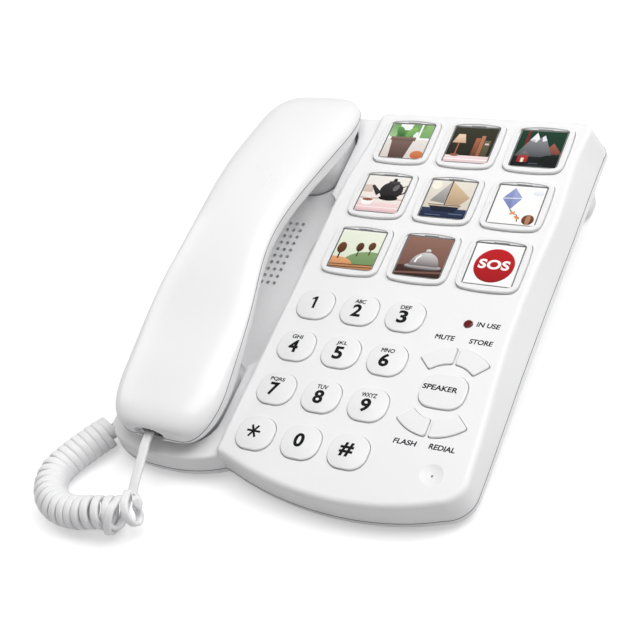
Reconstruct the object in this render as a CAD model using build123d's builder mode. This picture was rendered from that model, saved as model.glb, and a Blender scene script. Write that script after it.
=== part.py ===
from build123d import *
import os
from math import copysign, cos, hypot, pi, radians, sin, tan

os.makedirs("parts", exist_ok=True)

# Corded desk telephone with large keys and picture keys. Millimetres and degrees.
# The origin is on the table, under the middle of the telephone: +X to the user's right, +Y away
# from the user, +Z up. The deck is the sloping face that carries the keys. Its own coordinates
# are u to the right, v up the slope and w out of it, all from the middle of the star key.

# ---- Driving dimensions ----
# Housing
deck_tilt = 9.0  # slope of the deck over the table
wedge_angle = 1.35  # how much less the underside slopes than the deck
star_x, star_y, star_z = -11.05, -86.7, 21.0  # middle of the star key on the deck
wall = 2.5  # moulded walls of both housings
front_depth = 15.5  # deck to underside at the front edge
front_edge = -22.0  # v of the front edge
seam_height = 3.0  # height of the lower housing's rim above the underside
seam_step = 0.3  # how far the lower housing stands back at the seam
housing_fillet = 2.6  # rounded upper edge of the deck
block_depth = 22.0  # how far the housing blocks run down before the underside trims them

# Keys
key_gap = 0.3  # clearance all round a key in its opening
key_travel = 1.2
flange_gap = 0.1  # free play under the deck
flange_height, flange_width = 1.0, 1.1
dial_pitch_u, dial_pitch_v = 22.5, 23.1
dial_key_u, dial_key_v, dial_key_corner = 17.9, 16.3, 6.9
dial_rise = 0.9  # edge of a dial key above the deck
dial_crown = 0.7  # further rise of its domed middle
key_edge, key_chamfer = 0.6, 0.3  # rounded or broken edge of a key's face
dial_cavity, photo_cavity, speaker_cavity = (13.0, 11.4), (20.0, 19.0), (11.0, 8.0)  # hollow from below
photo_first_u, photo_first_v = 8.1, 102.3  # middle of the lower left picture key
photo_pitch_u, photo_pitch_v = 33.8, 34.5
photo_key_u, photo_key_v, photo_key_corner = 28.4, 27.4, 4.5
photo_bulge_u, photo_bulge_v = 0.6, 1.3  # how far its sides bow out
photo_rise = 0.9  # face of a picture key above the deck
photo_rim, photo_rim_height = 2.0, 0.6  # raised bead round the face
window_size, window_corner, window_thickness = 23.4, 0.8, 1.0
window_recess = 0.2  # top of the window below the key's face
window_gap = 0.1
notch_length, notch_width = 7.4, 1.0  # slot for lifting the window out
cluster_u, cluster_v = 74.9, 35.3  # middle of the ring of function keys
ring_inner, ring_outer, ring_split = 13.7, 21.9, 1.5
ring_half_angle = 46.0  # each arc key reaches this far from straight up or down
ring_corner = 1.2
ring_flange_width = 0.6
ring_rise = 0.8
speaker_key_u, speaker_key_v, speaker_key_corner = 18.8, 15.2, 6.4
speaker_bulge_u, speaker_bulge_v = 0.8, 0.8
speaker_rise = 1.0

# Layers under the deck, measured down from it
flange_top = wall + flange_gap
membrane_top = flange_top + flange_height + key_travel + 0.2
membrane_thickness, board_thickness = 1.0, 1.6
board_top = membrane_top + membrane_thickness
board_bottom = board_top + board_thickness
board_left, board_right, board_front, board_rear, board_corner = -9.4, 87.5, -9.5, 184.0, 3.0
board_gap = 0.3  # clearance of the membrane and board round what passes through them
key_skin = 1.5  # depth below the deck at which a key's hollow ends

# Small parts in the deck
led_u, led_v, led_diameter, led_rise = 74.2, 70.2, 4.0, 0.5
mic_u, mic_v, mic_dish, mic_dish_depth, mic_hole = 83.0, -2.6, 10.0, 0.9, 1.0
base_mic_diameter = 9.7
fit_gap = 0.15  # slip clearance of small fixed parts
post_places = [(11.2, 83.5), (35.0, 83.5), (60.0, 83.5), (62.0, -5.0), (86.5, 60.0)]  # rests for the board
post_diameter = 4.0
boss_places = [(-12.3, 11.5), (-12.3, 120.0), (91.8, 30.0), (92.3, 154.0)]  # for the housing screws
boss_diameter = 5.0
screw_diameter, screw_head, screw_head_height, screw_reach = 2.2, 4.4, 1.4, 8.0

# Cradle
cradle_u = -46.5  # middle line of the cradle
cradle_drop = 3.5  # the cradle's rim below the deck
cradle_wall = 4.0  # its outer wall, thick enough to carry the tub
cup_width, cup_front, cup_rear, cup_corner = 51.0, -10.6, 187.0, 15.0
cup_slope = 5.0
channel_depth, mouth_depth, ear_depth = 10.0, 11.0, 12.0  # floors below the deck
channel_right, channel_front, channel_rear = -17.0, 34.0, 138.0
pocket_wall = 1.8
mouth_pocket_v, ear_pocket_v, pocket_width, pocket_length = 17.0, 163.5, 47.0, 47.0
scoop_v, scoop_u, scoop_w, scoop_length, scoop_depth = 104.0, -17.5, -7.5, 46.0, 3.2
side_dip_front, side_dip_rear, side_dip_depth = 70.0, 130.0, 4.5
grille_u, grille_v, grille_rows, grille_columns = -42.7, 103.4, 10, 6
grille_pitch_u, grille_pitch_v, grille_hole = 3.6, 4.1, 2.1
loudspeaker_diameter, loudspeaker_height = 38.0, 3.2
hook_v, hook_diameter, hook_travel, hook_flange = 160.0, 8.0, 2.0, 0.8

# Handset, in the deck's coordinates
handset_u = -47.0
handset_front, handset_back = -12.8, 192.5
handset_wall = 2.0
squareness = 3.4  # exponent of the handset's rounded cross-sections
handset_rest_gap = 0.3  # between the handset's caps and the cradle's floors
half_widths = [(-13, 26.5), (20, 27.3), (46, 27.0), (90, 22.5), (140, 25.6), (165, 26.8), (193, 26.8)]
side_shift = [(-13, 3.0), (20, 1.8), (46, 1.2), (90, 0.2), (140, 0.8), (165, 1.5), (193, 1.5)]  # the body's middle, off handset_u
top_line = [(-13, 14.5), (16, 17.2), (40, 19.0), (66, 23.0), (94, 25.8), (124, 24.6), (150, 20.0), (176, 13.4), (193, 8.6)]
bottom_line = [(-13, -3.0), (16, -2.0), (36, 4.0), (60, 10.6), (84, 12.0), (108, 10.0), (132, 5.2), (156, -0.6), (176, -1.6), (193, -1.6)]
seam_line = [(-14, 3.5), (12, 8.6), (36, 13.6), (64, 18.6), (92, 20.8), (118, 18.4), (154, 11.4), (194, 2.6)]
nose_radius, nose_height = 27.0, 10.0  # how far back the ends' rounding starts, in plan and in profile
nose_width_share, nose_height_share = 0.45, 0.50  # size of the flat at each end
cap_length, cap_width, cap_corner, cap_slope, cap_fillet = 44.0, 45.0, 15.0, 6.0, 2.0
mouth_cap_v, ear_cap_v = 16.5, 163.0
shell_step = 0.15  # how far the lower shell stands back at the seam
receiver_diameter, receiver_height = 36.0, 6.0
handset_mic_diameter, handset_mic_height = 9.7, 5.0
ear_hole, mouth_hole, ear_hole_ring = 2.2, 1.8, 6.0
handset_screw_places = [56.0, 118.0]  # along v
handset_post_diameter = 7.0
notch_half_width, notch_half_height = 8.0, 4.9  # opening round the handset's jack
handset_jack_v = -11.0  # face of the handset's jack

# Sockets, plugs and cord
socket_width, socket_height, socket_depth = 9.0, 8.2, 12.0
plug_width, plug_height, plug_length = 7.6, 6.4, 10.5
base_socket_v, base_socket_w = 52.0, -9.6
handset_socket_w = 5.4
handset_plug_reach, base_plug_reach = 0.6, 3.0  # how far each plug stands out of its socket
lead_diameter = 4.6  # width of the flat lead
coil_diameter = 16.0

# Switch and line jack in the rear wall
switch_u, switch_w, switch_throw, switch_length, switch_height = 62.0, -11.0, 4.0, 4.0, 2.6
switch_flange, switch_rise = 1.0, 1.4
line_jack_u, line_jack_width, line_jack_height, line_jack_depth = 20.0, 12.0, 7.6, 13.0
line_opening_width, line_opening_height = 9.8, 5.6

# Stand and feet
foot_height, foot_diameter = 2.4, 12.0
stand_front, stand_rear, stand_left, stand_right = 173.8, 193.0, -70.0, 93.0  # from the star key
stand_front_corner, stand_rear_corner, stand_wall = 4.0, 8.0, 3.0
stand_height = 34.0  # tall enough for the underside to trim it
front_foot_u, front_foot_v = 82.0, -4.0
front_foot_left_u = -62.0
rear_foot_inset = 14.0


def deck(u=0.0, v=0.0, w=0.0):
    """The plane parallel to the deck through (u, v, w)."""
    s, c = sin(radians(deck_tilt)), cos(radians(deck_tilt))
    origin = (star_x + u, star_y + v * c - w * s, star_z + v * s + w * c)
    return Plane(origin=origin, x_dir=(1, 0, 0), z_dir=(0, -s, c))


def across(v, u=0.0):
    """The plane square to the slope at v. Its axes are u to the right and w out of the deck."""
    s, c = sin(radians(deck_tilt)), cos(radians(deck_tilt))
    origin = (star_x + u, star_y + v * c, star_z + v * s)
    return Plane(origin=origin, x_dir=(1, 0, 0), z_dir=(0, -c, -s))


def lengthwise(u):
    """The upright plane at u. Its axes are v up the slope and w out of the deck."""
    s, c = sin(radians(deck_tilt)), cos(radians(deck_tilt))
    return Plane(origin=(star_x + u, star_y, star_z), x_dir=(0, c, s), z_dir=(1, 0, 0))


def underside(height=0.0):
    """The plane of the housing's underside, or the one that height above it."""
    angle = radians(deck_tilt - wedge_angle)
    normal = Vector(0, -sin(angle), cos(angle))
    start = deck(0, front_edge, -front_depth).origin
    return Plane(origin=start + normal * height, x_dir=(1, 0, 0), z_dir=normal)


def top_face(part):
    """The face of a part that stands furthest out of the deck."""
    return part.faces().sort_by(Axis(deck().origin, deck().z_dir))[-1]


def along(line, v):
    """Height or width at v of a smooth line through a few named points."""
    points = [line[0]] + line + [line[-1]]
    for i in range(1, len(points) - 2):
        (v0, a0), (v1, a1), (v2, a2), (v3, a3) = points[i - 1 : i + 3]
        if v <= v2 or i == len(points) - 3:
            slope1 = (a2 - a0) / (v2 - v0) * (v2 - v1)
            slope2 = (a3 - a1) / (v3 - v1) * (v2 - v1)
            t = min(max((v - v1) / (v2 - v1), 0.0), 1.0)
            rise = (3 - 2 * t) * t * t
            return a1 + (a2 - a1) * rise + slope1 * t * (1 - t) ** 2 - slope2 * t * t * (1 - t)


# ---- Outlines of the housing ----
keypad_top = {
    "front_start": (-12.4, -12.4),
    "front": [(12, -19.5), (28, -22.0), (46, -22.8), (72, -19.8)],
    "right_front": (89.0, -14.4),
    "front_corner": (96.2, -9.6),
    "side": [(98.6, -2.0), (97.2, 22), (94.9, 50), (94.9, 108), (96.2, 136), (95.0, 160), (96.6, 184)],
    "rear_corner": (95.0, 188.8),
    "rear_right": (90.6, 190.6),
    "rear_left": (-9.7, 190.6),
    "left_rear": (-12.2, 189.6),
    "left": [(-13.2, 187.1), (-13.4, 170), (-15.8, 148), (-16.4, 110), (-16.4, 50), (-16.2, -8.5)],
    "left_corner": (-15.2, -11.4),
}
keypad_bottom = {
    "front_start": (-12.6, -13.8),
    "front": [(12, -20.8), (28, -23.2), (46, -24.0), (72, -21.2)],
    "right_front": (90.0, -15.6),
    "front_corner": (98.0, -10.8),
    "side": [(101.0, -3.0), (101.7, 22), (102.2, 50), (101.9, 108), (101.7, 136), (101.8, 160), (101.6, 184)],
    "rear_corner": (99.2, 192.6),
    "rear_right": (92.0, 195.5),
    "rear_left": (-9.7, 195.5),
    "left_rear": (-12.2, 194.5),
    "left": [(-13.2, 192.0), (-14.0, 172), (-16.2, 148), (-16.8, 110), (-16.8, 50), (-16.6, -9.5)],
    "left_corner": (-15.6, -12.6),
}
cradle_top = {
    "front_start": (-70.6, -12.7),
    "front": [(-65.5, -15.2), (-48.0, -17.8), (-30.0, -16.8), (-19.6, -14.0)],
    "right_front": (-9.0, -9.0),
    "front_corner": (-5.5, -7.0),
    "side": [(-4.0, -3.0), (-4.0, 90), (-4.0, 184)],
    "rear_corner": (-5.2, 187.6),
    "rear_right": (-9.0, 189.0),
    "rear_left": (-64.4, 189.0),
    "left_rear": (-72.9, 185.5),
    "left": [(-76.4, 177), (-76.4, 130), (-76.4, 60), (-76.4, 0)],
    "left_corner": (-75.0, -7.2),
}
cradle_bottom = {
    "front_start": (-71.8, -14.5),
    "front": [(-66.2, -17.2), (-48.0, -19.8), (-30.0, -18.8), (-19.6, -16.0)],
    "right_front": (-9.0, -11.0),
    "front_corner": (-5.5, -9.0),
    "side": [(-4.0, -5.0), (-4.0, 90), (-4.0, 188.5)],
    "rear_corner": (-5.2, 192.1),
    "rear_right": (-9.0, 193.5),
    "rear_left": (-65.4, 193.5),
    "left_rear": (-74.4, 189.7),
    "left": [(-78.2, 180), (-78.2, 130), (-78.2, 60), (-78.2, -1)],
    "left_corner": (-76.6, -8.7),
}
inward = {  # the way that each named point of an outline moves when the wall is inset
    "front_start": (0.4, 1),
    "front": (0, 1),
    "right_front": (-0.3, 1),
    "front_corner": (-0.7, 0.7),
    "side": (-1, 0),
    "rear_corner": (-0.7, -0.7),
    "rear_right": (-0.3, -1),
    "rear_left": (0.3, -1),
    "left_rear": (0.7, -0.7),
    "left": (1, 0),
    "left_corner": (0.8, 0.7),
}


def inset_points(corners, inset):
    """The same named points, each moved inward by the inset."""
    moved = {}
    for name, place in corners.items():
        du, dv = inward[name][0] * inset, inward[name][1] * inset
        if isinstance(place, list):
            moved[name] = [(u + du, v + dv) for u, v in place]
        else:
            moved[name] = (place[0] + du, place[1] + dv)
    return moved


def housing_outline(corners, inset=0.0):
    """Closed outline of a housing block through its named points, or one inset from it."""
    at = inset_points(corners, inset)
    with BuildLine() as outline:
        Spline(at["front_start"], *at["front"], at["right_front"])
        ThreePointArc(at["right_front"], at["front_corner"], at["side"][0])
        Spline(*at["side"])
        ThreePointArc(at["side"][-1], at["rear_corner"], at["rear_right"])
        Line(at["rear_right"], at["rear_left"])
        ThreePointArc(at["rear_left"], at["left_rear"], at["left"][0])
        Spline(*at["left"])
        ThreePointArc(at["left"][-1], at["left_corner"], at["front_start"])
    return outline.edges()


def housing_block(top, bottom, drop=0.0, inset=0.0, rounded=0.0):
    """A block between two outlines, its top face that far under the deck."""
    with BuildPart() as block:
        with BuildSketch(deck(w=-drop)):
            make_face(housing_outline(top, inset))
        with BuildSketch(deck(w=-block_depth)):
            make_face(housing_outline(bottom, inset))
        loft(ruled=True)
        if rounded:
            fillet(top_face(block.part).edges(), rounded)
    return block.part


# ---- Both blocks as one solid, and the space inside them ----
with BuildPart() as outer_form:
    add(housing_block(keypad_top, keypad_bottom, 0.0, 0.0, housing_fillet))
    add(housing_block(cradle_top, cradle_bottom, cradle_drop, 0.0, housing_fillet / 2))

with BuildPart() as inner_form:
    add(housing_block(keypad_top, keypad_bottom, wall, wall))
    add(housing_block(cradle_top, cradle_bottom, cradle_drop + wall, cradle_wall))


# ---- The hollow of the cradle: two cups, the channel between them and the finger scoop ----
def cradle_hollow(grow=0.0):
    """The open space of the cradle, or that space grown by a wall."""
    headroom = 4.0  # how far the space runs above the deck
    middle_v = (cup_front + cup_rear) / 2
    with BuildPart() as hollow:
        with BuildSketch(deck(cradle_u, middle_v, -channel_depth - grow)):
            floor_inset = 2 * channel_depth * tan(radians(cup_slope))
            length = cup_rear - cup_front - floor_inset + 2 * grow
            RectangleRounded(cup_width - floor_inset + 2 * grow, length, cup_corner + grow)
        extrude(amount=channel_depth + headroom + grow, taper=-cup_slope)
        left_edge = cradle_u - cup_width / 2 + channel_depth * tan(radians(cup_slope))
        channel_width = channel_right - left_edge
        channel_u = (channel_right + left_edge) / 2
        with BuildSketch(deck(channel_u, (channel_front + channel_rear) / 2, -channel_depth - grow)):
            RectangleRounded(channel_width + 2 * grow, channel_rear - channel_front + 2 * grow, 9.0 + grow)
        extrude(amount=channel_depth + headroom + grow, taper=-cup_slope)
        for v, depth in ((mouth_pocket_v, mouth_depth), (ear_pocket_v, ear_depth)):
            with BuildSketch(deck(cradle_u, v, -depth - grow)):
                RectangleRounded(pocket_width + 2 * grow, pocket_length + 2 * grow, cup_corner + grow)
            extrude(amount=depth)
        with BuildSketch(lengthwise(scoop_u)):
            with BuildLine():
                ends = scoop_length / 2 + grow
                ThreePointArc(
                    (scoop_v - ends, scoop_w),
                    (scoop_v, scoop_w + scoop_depth + 3.0 + grow),
                    (scoop_v + ends, scoop_w),
                )
                Line((scoop_v + ends, scoop_w), (scoop_v - ends, scoop_w))
            make_face()
        scoop_axis = Axis(deck(scoop_u, scoop_v, scoop_w).origin, lengthwise(0).x_dir)
        revolve(axis=scoop_axis, revolution_arc=360)
    return hollow.part



def panel(plane, width, height, corner=0.0):
    """A rectangle with rounded corners as a face on the plane."""
    with BuildSketch(plane) as outline:
        if corner:
            RectangleRounded(width, height, corner)
        else:
            Rectangle(width, height)
    return outline.sketch


def disc(plane, diameter):
    """A round face on the plane."""
    with BuildSketch(plane) as outline:
        Circle(diameter / 2)
    return outline.sketch


# ---- Outlines of the keys ----
def barrel(size_u, size_v, bow_u, bow_v, corner, grow=0.0):
    """Four-sided outline with bowed sides and rounded corners, drawn into the current sketch."""
    u, v = size_u / 2 + grow, size_v / 2 + grow
    with BuildLine() as outline:
        ThreePointArc((-u, -v), (0, -v - bow_v), (u, -v))
        ThreePointArc((u, -v), (u + bow_u, 0), (u, v))
        ThreePointArc((u, v), (0, v + bow_v), (-u, v))
        ThreePointArc((-u, v), (-u - bow_u, 0), (-u, -v))
    return outline.edges(), corner + grow


def ring_quarter(side, end, grow=0.0):
    """One arc of the ring: side is -1 or 1 for left or right, end -1 or 1 for lower or upper."""
    inner, outer, split = ring_inner - grow, ring_outer + grow, ring_split / 2 - grow

    def at(radius, angle):
        return (side * radius * sin(angle), end * radius * cos(angle))

    def near(radius):
        return (side * split, end * (radius * radius - split * split) ** 0.5)

    inner_angle = radians(ring_half_angle) + grow / inner
    outer_angle = radians(ring_half_angle) + grow / outer
    with BuildLine() as outline:
        ThreePointArc(at(inner, inner_angle), at(inner, inner_angle / 2), near(inner))
        Line(near(inner), near(outer))
        ThreePointArc(near(outer), at(outer, outer_angle / 2), at(outer, outer_angle))
        Line(at(outer, outer_angle), at(inner, inner_angle))
    return outline.edges(), ring_corner


def key_sketch(plane, kind, grow=0.0):
    """The outline of one kind of key, grown all round, as a face on the plane."""
    with BuildSketch(plane) as outline:
        if kind == "dial":
            u, v = dial_key_u + 2 * grow, dial_key_v + 2 * grow
            RectangleRounded(u, v, dial_key_corner + grow)
        else:
            if kind == "photo":
                sizes = (photo_key_u, photo_key_v, photo_bulge_u, photo_bulge_v, photo_key_corner)
                edges, corner = barrel(*sizes, grow)
            elif kind == "speaker":
                sizes = (speaker_key_u, speaker_key_v, speaker_bulge_u, speaker_bulge_v, speaker_key_corner)
                edges, corner = barrel(*sizes, grow)
            else:
                edges, corner = ring_quarter(*kind, grow)
            make_face(edges)
            fillet(outline.vertices(), corner)
    return outline.sketch


# ---- Where every key stands ----
dial_names = [["star", "0", "hash"], ["7", "8", "9"], ["4", "5", "6"], ["1", "2", "3"]]
dial_places = {}
for row, names in enumerate(dial_names):
    for column, name in enumerate(names):
        dial_places[name] = (column * dial_pitch_u, row * dial_pitch_v)
photo_places = {}
for number in range(9):  # counted from the upper left
    column, row = number % 3, 2 - number // 3
    place = (photo_first_u + column * photo_pitch_u, photo_first_v + row * photo_pitch_v)
    photo_places[number + 1] = place
ring_keys = {"mute": (-1, 1), "store": (1, 1), "flash": (-1, -1), "redial": (1, -1)}
key_places = [("dial", place) for place in dial_places.values()]
key_places += [("photo", place) for place in photo_places.values()]
key_places += [("speaker", (cluster_u, cluster_v))]
key_places += [(kind, (cluster_u, cluster_v)) for kind in ring_keys.values()]


# ---- Keys ----
def moulded_key(name, kind, place, flange, rise, crown=0.0, cavity=None):
    """A key cap with a flange under the deck and a hollow underneath."""
    foot = -flange_top - flange_height
    with BuildPart() as key:
        extrude(key_sketch(deck(*place, foot), kind, flange), amount=flange_height)
        extrude(key_sketch(deck(*place, foot), kind), amount=rise + crown - foot)
        if crown:
            span = dial_key_u / 2
            ball = (span * span + crown * crown) / (2 * crown)
            middle = deck(*place, rise + crown - ball)
            with Locations(Plane(origin=middle.origin, x_dir=-middle.z_dir, z_dir=(1, 0, 0))):
                Sphere(ball, mode=Mode.INTERSECT)
        if kind in ("dial", "speaker"):
            fillet(top_face(key.part).edges(), key_edge)
        else:
            chamfer(top_face(key.part).edges(), key_chamfer)
        if cavity:
            extrude(panel(deck(*place, foot), *cavity), amount=-key_skin - foot, mode=Mode.SUBTRACT)
    key.part.label = name
    return key


def picture_key(name, place):
    """A picture key: a rim round a sunk face, a seat for the window and the slot beside it."""
    key = moulded_key(name, "photo", place, flange_width, photo_rise + photo_rim_height, cavity=photo_cavity)
    seat = window_size + 2 * window_gap
    seat_depth = window_recess + window_thickness
    with key:
        face = key_sketch(deck(*place, photo_rise), "photo", -photo_rim)
        extrude(face, amount=2 * photo_rim_height, mode=Mode.SUBTRACT)
        extrude(panel(deck(*place, photo_rise), seat, seat, window_corner), amount=-seat_depth, mode=Mode.SUBTRACT)
        slot = panel(deck(place[0], place[1] + seat / 2, photo_rise), notch_length, notch_width)
        extrude(slot, amount=-seat_depth, mode=Mode.SUBTRACT)
    key.part.label = name
    return key


def picture_window(name, place):
    """The clear window that holds a picture, resting on its seat."""
    with BuildPart() as window:
        with BuildSketch(deck(*place, photo_rise - window_recess)):
            RectangleRounded(window_size, window_size, window_corner)
        extrude(amount=-window_thickness)
    window.part.label = name
    return window



# ---- Upper housing ----
socket_face = -76.4  # u of the cord socket's mouth, just inside the left wall
def slab(low, high):
    """Everything between two heights over the housing's underside."""
    with BuildPart() as layer:
        with BuildSketch(underside(low)):
            Rectangle(400, 600)
        extrude(amount=high - low)
    return layer.part


def under_point(u, v):
    """The point of the underside straight below a place on the deck."""
    plane = underside()
    start = deck(u, v).origin
    down = deck().z_dir
    reach = (start - plane.origin).dot(plane.z_dir) / down.dot(plane.z_dir)
    return start - down * reach


def upright_rod(u, v, low, high, diameter):
    """A rod square to the underside below a place on the deck."""
    plane = underside()
    foot = under_point(u, v) + plane.z_dir * low
    with BuildPart() as rod:
        with BuildSketch(Plane(origin=foot, x_dir=(1, 0, 0), z_dir=plane.z_dir)):
            Circle(diameter / 2)
        extrude(amount=high - low)
    return rod.part


mouth_floor, ear_floor = -mouth_depth, -ear_depth
with BuildPart() as upper_housing:
    # both blocks, hollow and open underneath
    add(outer_form.part)
    add(inner_form.part, mode=Mode.SUBTRACT)
    # the tub of the cradle, hung inside the outer form
    with BuildPart(mode=Mode.PRIVATE) as tub:
        add(cradle_hollow(pocket_wall))
        add(outer_form.part, mode=Mode.INTERSECT)
    add(tub.part)
    add(cradle_hollow(), mode=Mode.SUBTRACT)
    # a shelter for the cord socket in the left front corner of the channel
    shelter_left = cradle_u - cup_width / 2 - 2.6
    shelter_width = socket_depth + 2.6
    shelter_low = base_socket_w - socket_height / 2
    shelter_high = base_socket_w + socket_height / 2 + pocket_wall
    shelter_place = deck(shelter_left + shelter_width / 2, base_socket_v, shelter_low)
    extrude(
        panel(shelter_place, shelter_width, socket_width + 2 * pocket_wall, 1.0),
        amount=shelter_high - shelter_low,
    )
    # bosses for the screws and posts that bear on the board
    for u, v in boss_places:
        extrude(disc(deck(u, v, -2.2), boss_diameter), amount=-18.0)
    for u, v in post_places:
        extrude(disc(deck(u, v, -1.5), post_diameter), amount=1.5 - board_top)
    # openings for the keys
    for kind, place in key_places:
        extrude(key_sketch(deck(*place, 3.0), kind, key_gap), amount=-3.0 - wall - 0.5, mode=Mode.SUBTRACT)
    # lamp, and the dish of the microphone with its sound hole
    extrude(disc(deck(led_u, led_v, 1.0), led_diameter + 2 * fit_gap), amount=-5.0, mode=Mode.SUBTRACT)
    dish_ball = (mic_dish * mic_dish / 4 + mic_dish_depth * mic_dish_depth) / (2 * mic_dish_depth)
    dish_middle = deck(mic_u, mic_v, dish_ball - mic_dish_depth)
    with Locations(Plane(origin=dish_middle.origin, x_dir=dish_middle.z_dir, z_dir=(1, 0, 0))):
        Sphere(dish_ball, mode=Mode.SUBTRACT)
    extrude(disc(deck(mic_u, mic_v, 1.0), mic_hole), amount=-5.0, mode=Mode.SUBTRACT)
    # grille in the channel floor
    with BuildSketch(deck(grille_u, grille_v, -channel_depth + 1.0)) as grille:
        with GridLocations(grille_pitch_u, grille_pitch_v, grille_columns, grille_rows):
            RegularPolygon(grille_hole / 2, 8)
    extrude(amount=-pocket_wall - 2.0, mode=Mode.SUBTRACT)
    # bore of the hook button
    hook_bore = hook_diameter + 2 * key_gap
    extrude(disc(deck(cradle_u, hook_v, ear_floor + 1.0), hook_bore), amount=-5.0, mode=Mode.SUBTRACT)
    # room for the cord socket, the line jack and the switch
    socket_place = deck(-86.0, base_socket_v, base_socket_w).origin
    with BuildSketch(Plane(origin=socket_place, x_dir=lengthwise(0).x_dir, z_dir=(1, 0, 0))):
        Rectangle(socket_width + 2 * fit_gap, socket_height + 2 * fit_gap)
    extrude(amount=86.0 + socket_face + socket_depth, mode=Mode.SUBTRACT)
    line_jack_w = -board_bottom - line_jack_height / 2
    with BuildSketch(across(175.0)):
        with Locations((line_jack_u, line_jack_w)):
            Rectangle(line_jack_width + 2 * fit_gap, line_jack_height + 2 * fit_gap)
    extrude(amount=-30.0, mode=Mode.SUBTRACT)
    with BuildSketch(across(175.0)):
        with Locations((switch_u, switch_w)):
            Rectangle(switch_length + switch_throw + 2 * key_gap, switch_height + 2 * key_gap)
    extrude(amount=-30.0, mode=Mode.SUBTRACT)
    # screw pilots, then the seam
    for u, v in boss_places:
        add(upright_rod(u, v, 0.0, screw_head_height + screw_reach + 1.0, screw_diameter + 0.1), mode=Mode.SUBTRACT)
    add(slab(-30.0, seam_height), mode=Mode.SUBTRACT)
upper_housing.part.label = "upper_housing"
export_step(upper_housing.part, "parts/upper_housing.step")

# ---- Lower housing ----
with BuildPart() as lower_housing:
    add(housing_block(keypad_top, keypad_bottom, 0.0, seam_step))
    add(housing_block(cradle_top, cradle_bottom, cradle_drop, seam_step))
    add(slab(0.0, seam_height), mode=Mode.INTERSECT)
    with BuildPart(mode=Mode.PRIVATE) as tray_room:
        add(inner_form.part)
        add(slab(wall, 40.0), mode=Mode.INTERSECT)
    add(tray_room.part, mode=Mode.SUBTRACT)
    # screw bosses, each with a sunk seat and a clearance hole
    for u, v in boss_places:
        add(upright_rod(u, v, 0.5, seam_height, boss_diameter + 2.0))
        add(upright_rod(u, v, 0.0, screw_head_height, screw_head + 0.6), mode=Mode.SUBTRACT)
        add(upright_rod(u, v, 0.0, seam_height, screw_diameter + 0.3), mode=Mode.SUBTRACT)
lower_housing.part.label = "lower_housing"
export_step(lower_housing.part, "parts/lower_housing.step")


# ---- Screws of the housing ----
with BuildPart() as housing_screws:
    for u, v in boss_places:
        add(upright_rod(u, v, 0.2, screw_head_height, screw_head))
        add(upright_rod(u, v, screw_head_height, screw_head_height + screw_reach, screw_diameter))
housing_screws.part.label = "housing_screws"
export_step(housing_screws.part, "parts/housing_screws.step")

# ---- Board and membrane under the keys ----
board_u, board_v = (board_left + board_right) / 2, (board_front + board_rear) / 2
board_width, board_length = board_right - board_left, board_rear - board_front
with BuildPart() as circuit_board:
    extrude(
        panel(deck(board_u, board_v, -board_top), board_width, board_length, board_corner),
        amount=-board_thickness,
    )
circuit_board.part.label = "circuit_board"
export_step(circuit_board.part, "parts/circuit_board.step")

with BuildPart() as keypad_membrane:
    extrude(
        panel(deck(board_u, board_v, -membrane_top), board_width - 1.0, board_length - 1.0, board_corner),
        amount=-membrane_thickness,
    )
    for u, v in post_places:
        hole = disc(deck(u, v, -membrane_top + 1.0), post_diameter + 2 * board_gap)
        extrude(hole, amount=-3.0, mode=Mode.SUBTRACT)
    hole = disc(deck(led_u, led_v, -membrane_top + 1.0), led_diameter + 2 * board_gap)
    extrude(hole, amount=-3.0, mode=Mode.SUBTRACT)
    hole = disc(deck(mic_u, mic_v, -membrane_top + 1.0), base_mic_diameter + 2 * board_gap)
    extrude(hole, amount=-3.0, mode=Mode.SUBTRACT)
keypad_membrane.part.label = "keypad_membrane"
export_step(keypad_membrane.part, "parts/keypad_membrane.step")

# ---- Loudspeaker, microphone and lamp of the base ----
with BuildPart() as base_speaker:
    speaker_w = -channel_depth - pocket_wall
    extrude(disc(deck(grille_u, grille_v, speaker_w), loudspeaker_diameter), amount=-1.2)
    extrude(disc(deck(grille_u, grille_v, speaker_w), loudspeaker_diameter - 8.0), amount=-2.2)
    extrude(disc(deck(grille_u, grille_v, speaker_w), loudspeaker_diameter / 2), amount=-loudspeaker_height)
base_speaker.part.label = "base_speaker"
export_step(base_speaker.part, "parts/base_speaker.step")

with BuildPart() as base_microphone:
    extrude(disc(deck(mic_u, mic_v, -board_top), base_mic_diameter), amount=board_top - wall - fit_gap)
base_microphone.part.label = "base_microphone"
export_step(base_microphone.part, "parts/base_microphone.step")

with BuildPart() as in_use_led:
    extrude(disc(deck(led_u, led_v, -board_top), led_diameter), amount=board_top + led_rise)
    fillet(top_face(in_use_led.part).edges(), led_rise)
in_use_led.part.label = "in_use_led"
export_step(in_use_led.part, "parts/in_use_led.step")

# ---- Line jack and switch in the rear wall ----
line_face_v = 189.0
with BuildPart() as line_jack:
    with BuildSketch(across(line_face_v)):
        with Locations((line_jack_u, line_jack_w)):
            Rectangle(line_jack_width, line_jack_height)
    extrude(amount=line_jack_depth)
    with BuildSketch(across(line_face_v)):
        with Locations((line_jack_u, line_jack_w)):
            Rectangle(line_opening_width, line_opening_height)
    extrude(amount=line_jack_depth - 2.0, mode=Mode.SUBTRACT)
line_jack.part.label = "line_jack"
export_step(line_jack.part, "parts/line_jack.step")

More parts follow.
